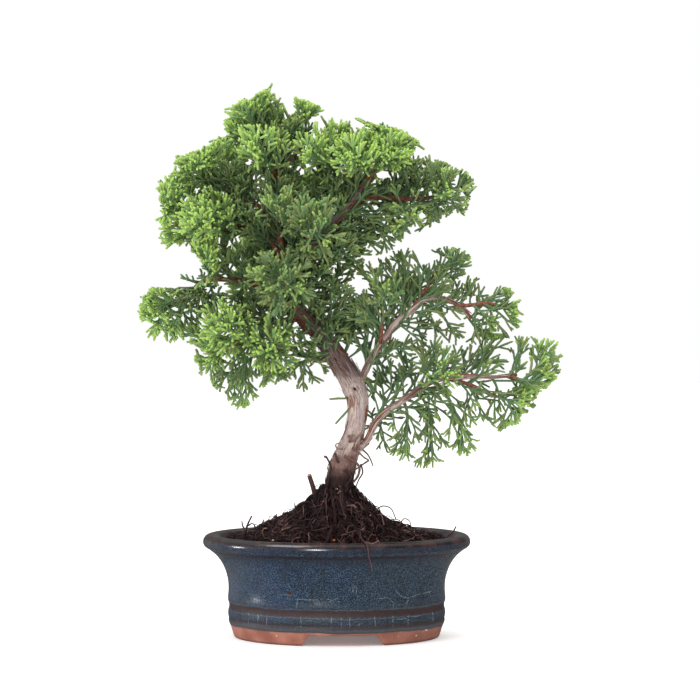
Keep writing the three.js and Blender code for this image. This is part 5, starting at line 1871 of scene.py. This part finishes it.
# Each row: radii at foot and tip, tones at foot and tip, and the points of its middle line.
PLACED_ROOTS = [
    ((1.75, 1.45), (0.25, 0.5), [(-11, -7, 78), (-12.6, -7.5, 85), (-14.2, -8, 91), (-16.2, -8.5, 97.2)]),
    ((1.3, 1.15), (0.8, 0.9), [(-16.1, -8.5, 96.8), (-16.4, -8.5, 98.1)]),
    ((1.0, 0.8), (0.2, 0.3), [(-25, -9, 73), (-23.5, -10, 78.5), (-20, -10.5, 81), (-16, -10, 81),
                              (-12, -9, 77)]),
    ((0.8, 0.5), (0.2, 0.4), [(-54.5, -8, 58), (-54.2, -8, 64), (-53, -8, 68), (-50.6, -8, 73)]),
    ((0.6, 0.4), (0.2, 0.4), [(-54, -8, 64), (-56, -8.5, 67), (-56.5, -8.5, 70)]),
    ((0.5, 0.3), (0.2, 0.5), [(-53, -8, 67), (-50, -9, 68.5), (-48.5, -9, 66)]),
    ((0.55, 0.28), (0.35, 0.6), [(13.6, -33, 67), (14.2, -44, 65.5), (14.8, -52, 63.4), (17.4, -58.6, 61.4),
                                 (18.6, -61.2, 57.6), (18.8, -61, 54.2), (19.6, -59.5, 51.6),
                                 (20.8, -58.4, 46)]),
    ((0.35, 0.25), (0.6, 0.75), [(16.5, -57, 62.4), (21, -59, 61.6), (24, -58, 63)]),
    ((0.7, 0.45), (0.5, 0.6), [(64, -3, 57), (67, -4, 61), (69.5, -5, 63), (71.5, -6, 66.5)]),
    ((0.34, 0.26), (0.6, 0.85), [(-42, -28, 61), (-43.4, -29, 65), (-42.8, -29.5, 67.4), (-41, -29, 67.6)]),
    ((0.34, 0.24), (0.5, 0.8), [(-55, -10, 59), (-56, -11, 63), (-55, -11, 65.6), (-53.8, -11, 65)]),
    ((0.75, 0.6), (0.3, 0.45), [(-5.6, -6, 88), (-4.6, -8, 96), (-3.4, -8.5, 102), (-4.4, -8.5, 105),
                                (-6.2, -8.5, 108.4)]),
    ((0.8, 0.7), (0.5, 0.7), [(-6, -8.5, 108), (-7.6, -8.5, 108.6)]),
    ((1.0, 0.7), (0.6, 0.5), [(3, -6, 102), (0.4, -7.5, 106), (-0.8, -8, 110.5)]),
    ((0.6, 0.4), (0.75, 0.85), [(4, -7, 113), (0.6, -8, 113.2), (-0.6, -8.3, 115.2), (1.2, -8.4, 116.4),
                                (2.4, -8, 115)]),
    ((0.9, 0.7), (0.7, 0.78), [(7, -7.6, 121), (9.4, -8.4, 117.6), (13, -8.6, 120.5), (15.2, -8.6, 122.8)]),
    ((1.0, 0.7), (0.68, 0.6), [(4.6, -8, 109), (8, -9, 107), (11.4, -9.2, 105), (13.6, -9, 102),
                               (12.8, -8.4, 97), (10, -8, 93)]),
    ((0.7, 0.5), (0.65, 0.72), [(10, -7, 112.5), (13.5, -8.4, 110.6), (16.6, -8.6, 107.8),
                                (19.2, -8.6, 106.4)]),
    ((0.6, 0.4), (0.66, 0.5), [(15.6, -6, 112.4), (18.6, -7, 109.6), (20.4, -7.4, 106.4),
                               (21.8, -7.6, 102.6)]),
    ((0.6, 0.45), (0.55, 0.5), [(19.4, -8.6, 106.2), (15.4, -8.8, 103.6), (11, -8.4, 100.4)]),
    ((0.6, 0.35), (0.5, 0.4), [(14.4, -8.6, 104), (15.6, -8.8, 99), (13.2, -9, 94.6), (11.4, -9, 90)]),
    ((0.5, 0.3), (0.4, 0.35), [(7, -8.5, 100), (9, -9.8, 96), (6, -10, 91), (9, -11, 85)]),
    ((0.36, 0.26), (0.6, 0.72), [(24, -24, 75), (26.4, -27, 75.2), (27.4, -29, 72), (28, -31, 69.5)]),
    ((0.45, 0.35), (0.5, 0.6), [(23, -20, 77), (27, -22, 80), (32, -25, 79), (35, -28, 73)]),
    ((0.4, 0.3), (0.6, 0.6), [(37, -20, 68), (40, -22, 72.5), (43, -24, 71.5), (44.5, -26, 66)]),
    ((0.5, 0.3), (0.3, 0.5), [(-38, -14, 68), (-36, -16, 72), (-32, -17, 74), (-29, -18, 72)]),
]
# Pale and orange grains on the soil: where, how large and their tone.
GRIT = [((-37, -40, 61.6), 0.6, 0.98), ((-1.3, -46.5, 62.2), 0.75, ORANGE), ((0.4, -14, 89.5), 0.4, 0.85),
        ((-8, -16, 82.2), 0.4, 0.8), ((46, -24, 65.2), 0.45, 0.8), ((20, -23, 74.6), 0.45, 0.8)]


def surface_height(x, y):
    """Height of the mound above a place, found by solving for the share of the way to the wall."""
    share = 0.5
    for _ in range(4):
        share = math.hypot(x / MOUND_REACH, (y - 0.5) / (MOUND_REACH * mix(1, POT_RATIO, share)))
    angle = math.atan2((y - 0.5) / mix(1, POT_RATIO, share), x)
    return mound_point(min(share, 1), angle)[2], share


def root_path(draw, start_share, angle, heading, length, wander, lift):
    """The points of a root that creeps over the mound, dipping in and out of it."""
    x, y, _ = mound_point(start_share, angle)
    step = 1.6
    points = []
    phase = draw.uniform(0, 2 * math.pi)
    wave = draw.uniform(0.3, 0.6)
    for k in range(int(length / step)):
        height, share = surface_height(x, y)
        if share > 0.95:
            break
        points.append(np.array([x, y, height - 1.0 + lift * (math.sin(phase + k * wave) + 0.35)]))
        heading += draw.normal(0, wander)
        x += step * math.cos(heading)
        y += step * math.sin(heading)
    return points


def creeping_roots(guide, draw, count, shares, lengths, girths, lifts, along_rim=False):
    for _ in range(count):
        angle = draw.uniform(0, 2 * math.pi)
        heading = angle + (math.pi / 2 if along_rim else 0) + draw.uniform(-0.9, 0.9)
        points = root_path(draw, draw.uniform(*shares), angle, heading, draw.uniform(*lengths), 0.5,
                           draw.uniform(*lifts))
        if len(points) < 5:
            continue
        girth = draw.uniform(*girths)
        tone = 0.78 * draw.uniform(0, 1) ** 2.3
        guide.strand(points, np.linspace(girth, girth * 0.45, len(points)), np.full(len(points), tone))


def looping_roots(guide, draw, count):
    """Roots that leave the soil, stand up in a crooked loop and go back in."""
    for _ in range(count):
        angle, share = draw.uniform(0, 2 * math.pi), draw.uniform(0.16, 0.86)
        foot = mound_point(share, angle)
        turn, span = draw.uniform(0, 2 * math.pi), draw.uniform(4, 15)
        x, y = foot[0] + span * math.cos(turn), foot[1] + span * math.sin(turn)
        height, end_share = surface_height(x, y)
        if end_share > 0.93:
            continue
        end = np.array([x, y, height - 2.2])
        rise = draw.uniform(0.6, 3.4)
        first = mix(foot, end, 0.3) + UP * rise + draw.uniform(-2, 2, 3)
        second = mix(foot, end, 0.7) + UP * rise * draw.uniform(0.5, 1) + draw.uniform(-2, 2, 3)
        points = Route([foot - UP * 1.2, first, second, end]).sampled(9)
        girth = draw.uniform(0.22, 0.5)
        tone = 0.75 * draw.uniform(0, 1) ** 3
        guide.strand(points, np.linspace(girth, girth * 0.6, len(points)), np.full(len(points), tone))


def make_roots():
    draw = np.random.default_rng(SOIL_SEED)
    guide = Guide()
    creeping_roots(guide, draw, 1300, (0.13, 0.9), (8, 22), (0.14, 0.38), (0.4, 2.1))
    creeping_roots(guide, draw, 320, (0.6, 0.93), (12, 36), (0.16, 0.34), (0.4, 1.4), along_rim=True)
    creeping_roots(guide, draw, 110, (0.12, 0.5), (18, 42), (0.45, 0.85), (0.3, 1.3))
    looping_roots(guide, draw, 240)
    for degrees, reach, sway, radius in SURFACE_ROOTS:
        angle = math.radians(degrees)
        points = root_path(draw, 0.14, angle, angle + sway, reach, 0.08, 0.5)
        guide.strand(points, np.linspace(radius, radius * 0.5, len(points)),
                     np.linspace(0.1, 0.35, len(points)))
    for (foot, tip), (foot_tone, tip_tone), points in PLACED_ROOTS:
        count = 4 * (len(points) - 1)
        guide.strand(Route(points).sampled(count), np.linspace(foot, tip, count + 1),
                     np.linspace(foot_tone, tip_tone, count + 1))
    for place, size, tone in GRIT:
        points = [np.array(place, float) + np.array([size * k, 0, 0]) for k in (-1, -0.6, 0, 0.6, 1)]
        guide.strand(points, np.array([0.3, 0.8, 1, 0.8, 0.3]) * size, np.full(5, tone))
    roots = guide.object("matted_roots")
    return grow(roots, sweep_strands, Sides=5, Finish=root_look)


def root_finish():
    finish = Finish("fine_roots")
    tone = finish.attribute("tone")
    mottle = finish.noise(0.8, 3.0)
    colour = finish.node("ShaderNodeValToRGB", {"stops": [
        (0.0, srgb(20, 5, 10)), (0.3, srgb(52, 28, 31)), (0.55, srgb(84, 58, 55)),
        (0.72, srgb(126, 94, 84)), (0.85, srgb(172, 142, 124)), (1.0, srgb(224, 208, 180))]}, {0: tone})
    colour = finish.blend(tone.step(1.2, 1.4), colour, srgb(196, 104, 56))
    colour = finish.blend(mottle.step(0.5, 0.8) * 0.5, colour, srgb(24, 15, 15))
    return finish.shade(Base_Color=colour, Roughness=0.34 + mottle * 0.3, Specular_IOR_Level=0.25,
                        Normal=finish.bump(finish.noise(1.8, 2.0), 0.3, 0.6))


root_look = root_finish()
roots = make_roots()
finished(roots, root_look)
print("roots:", triangles(roots), "triangles")

# %% [markdown]
# ## Pieces made
# The script ends by printing how many pieces it made.

# %% Count the pieces
print("pieces:", len(pieces_made))
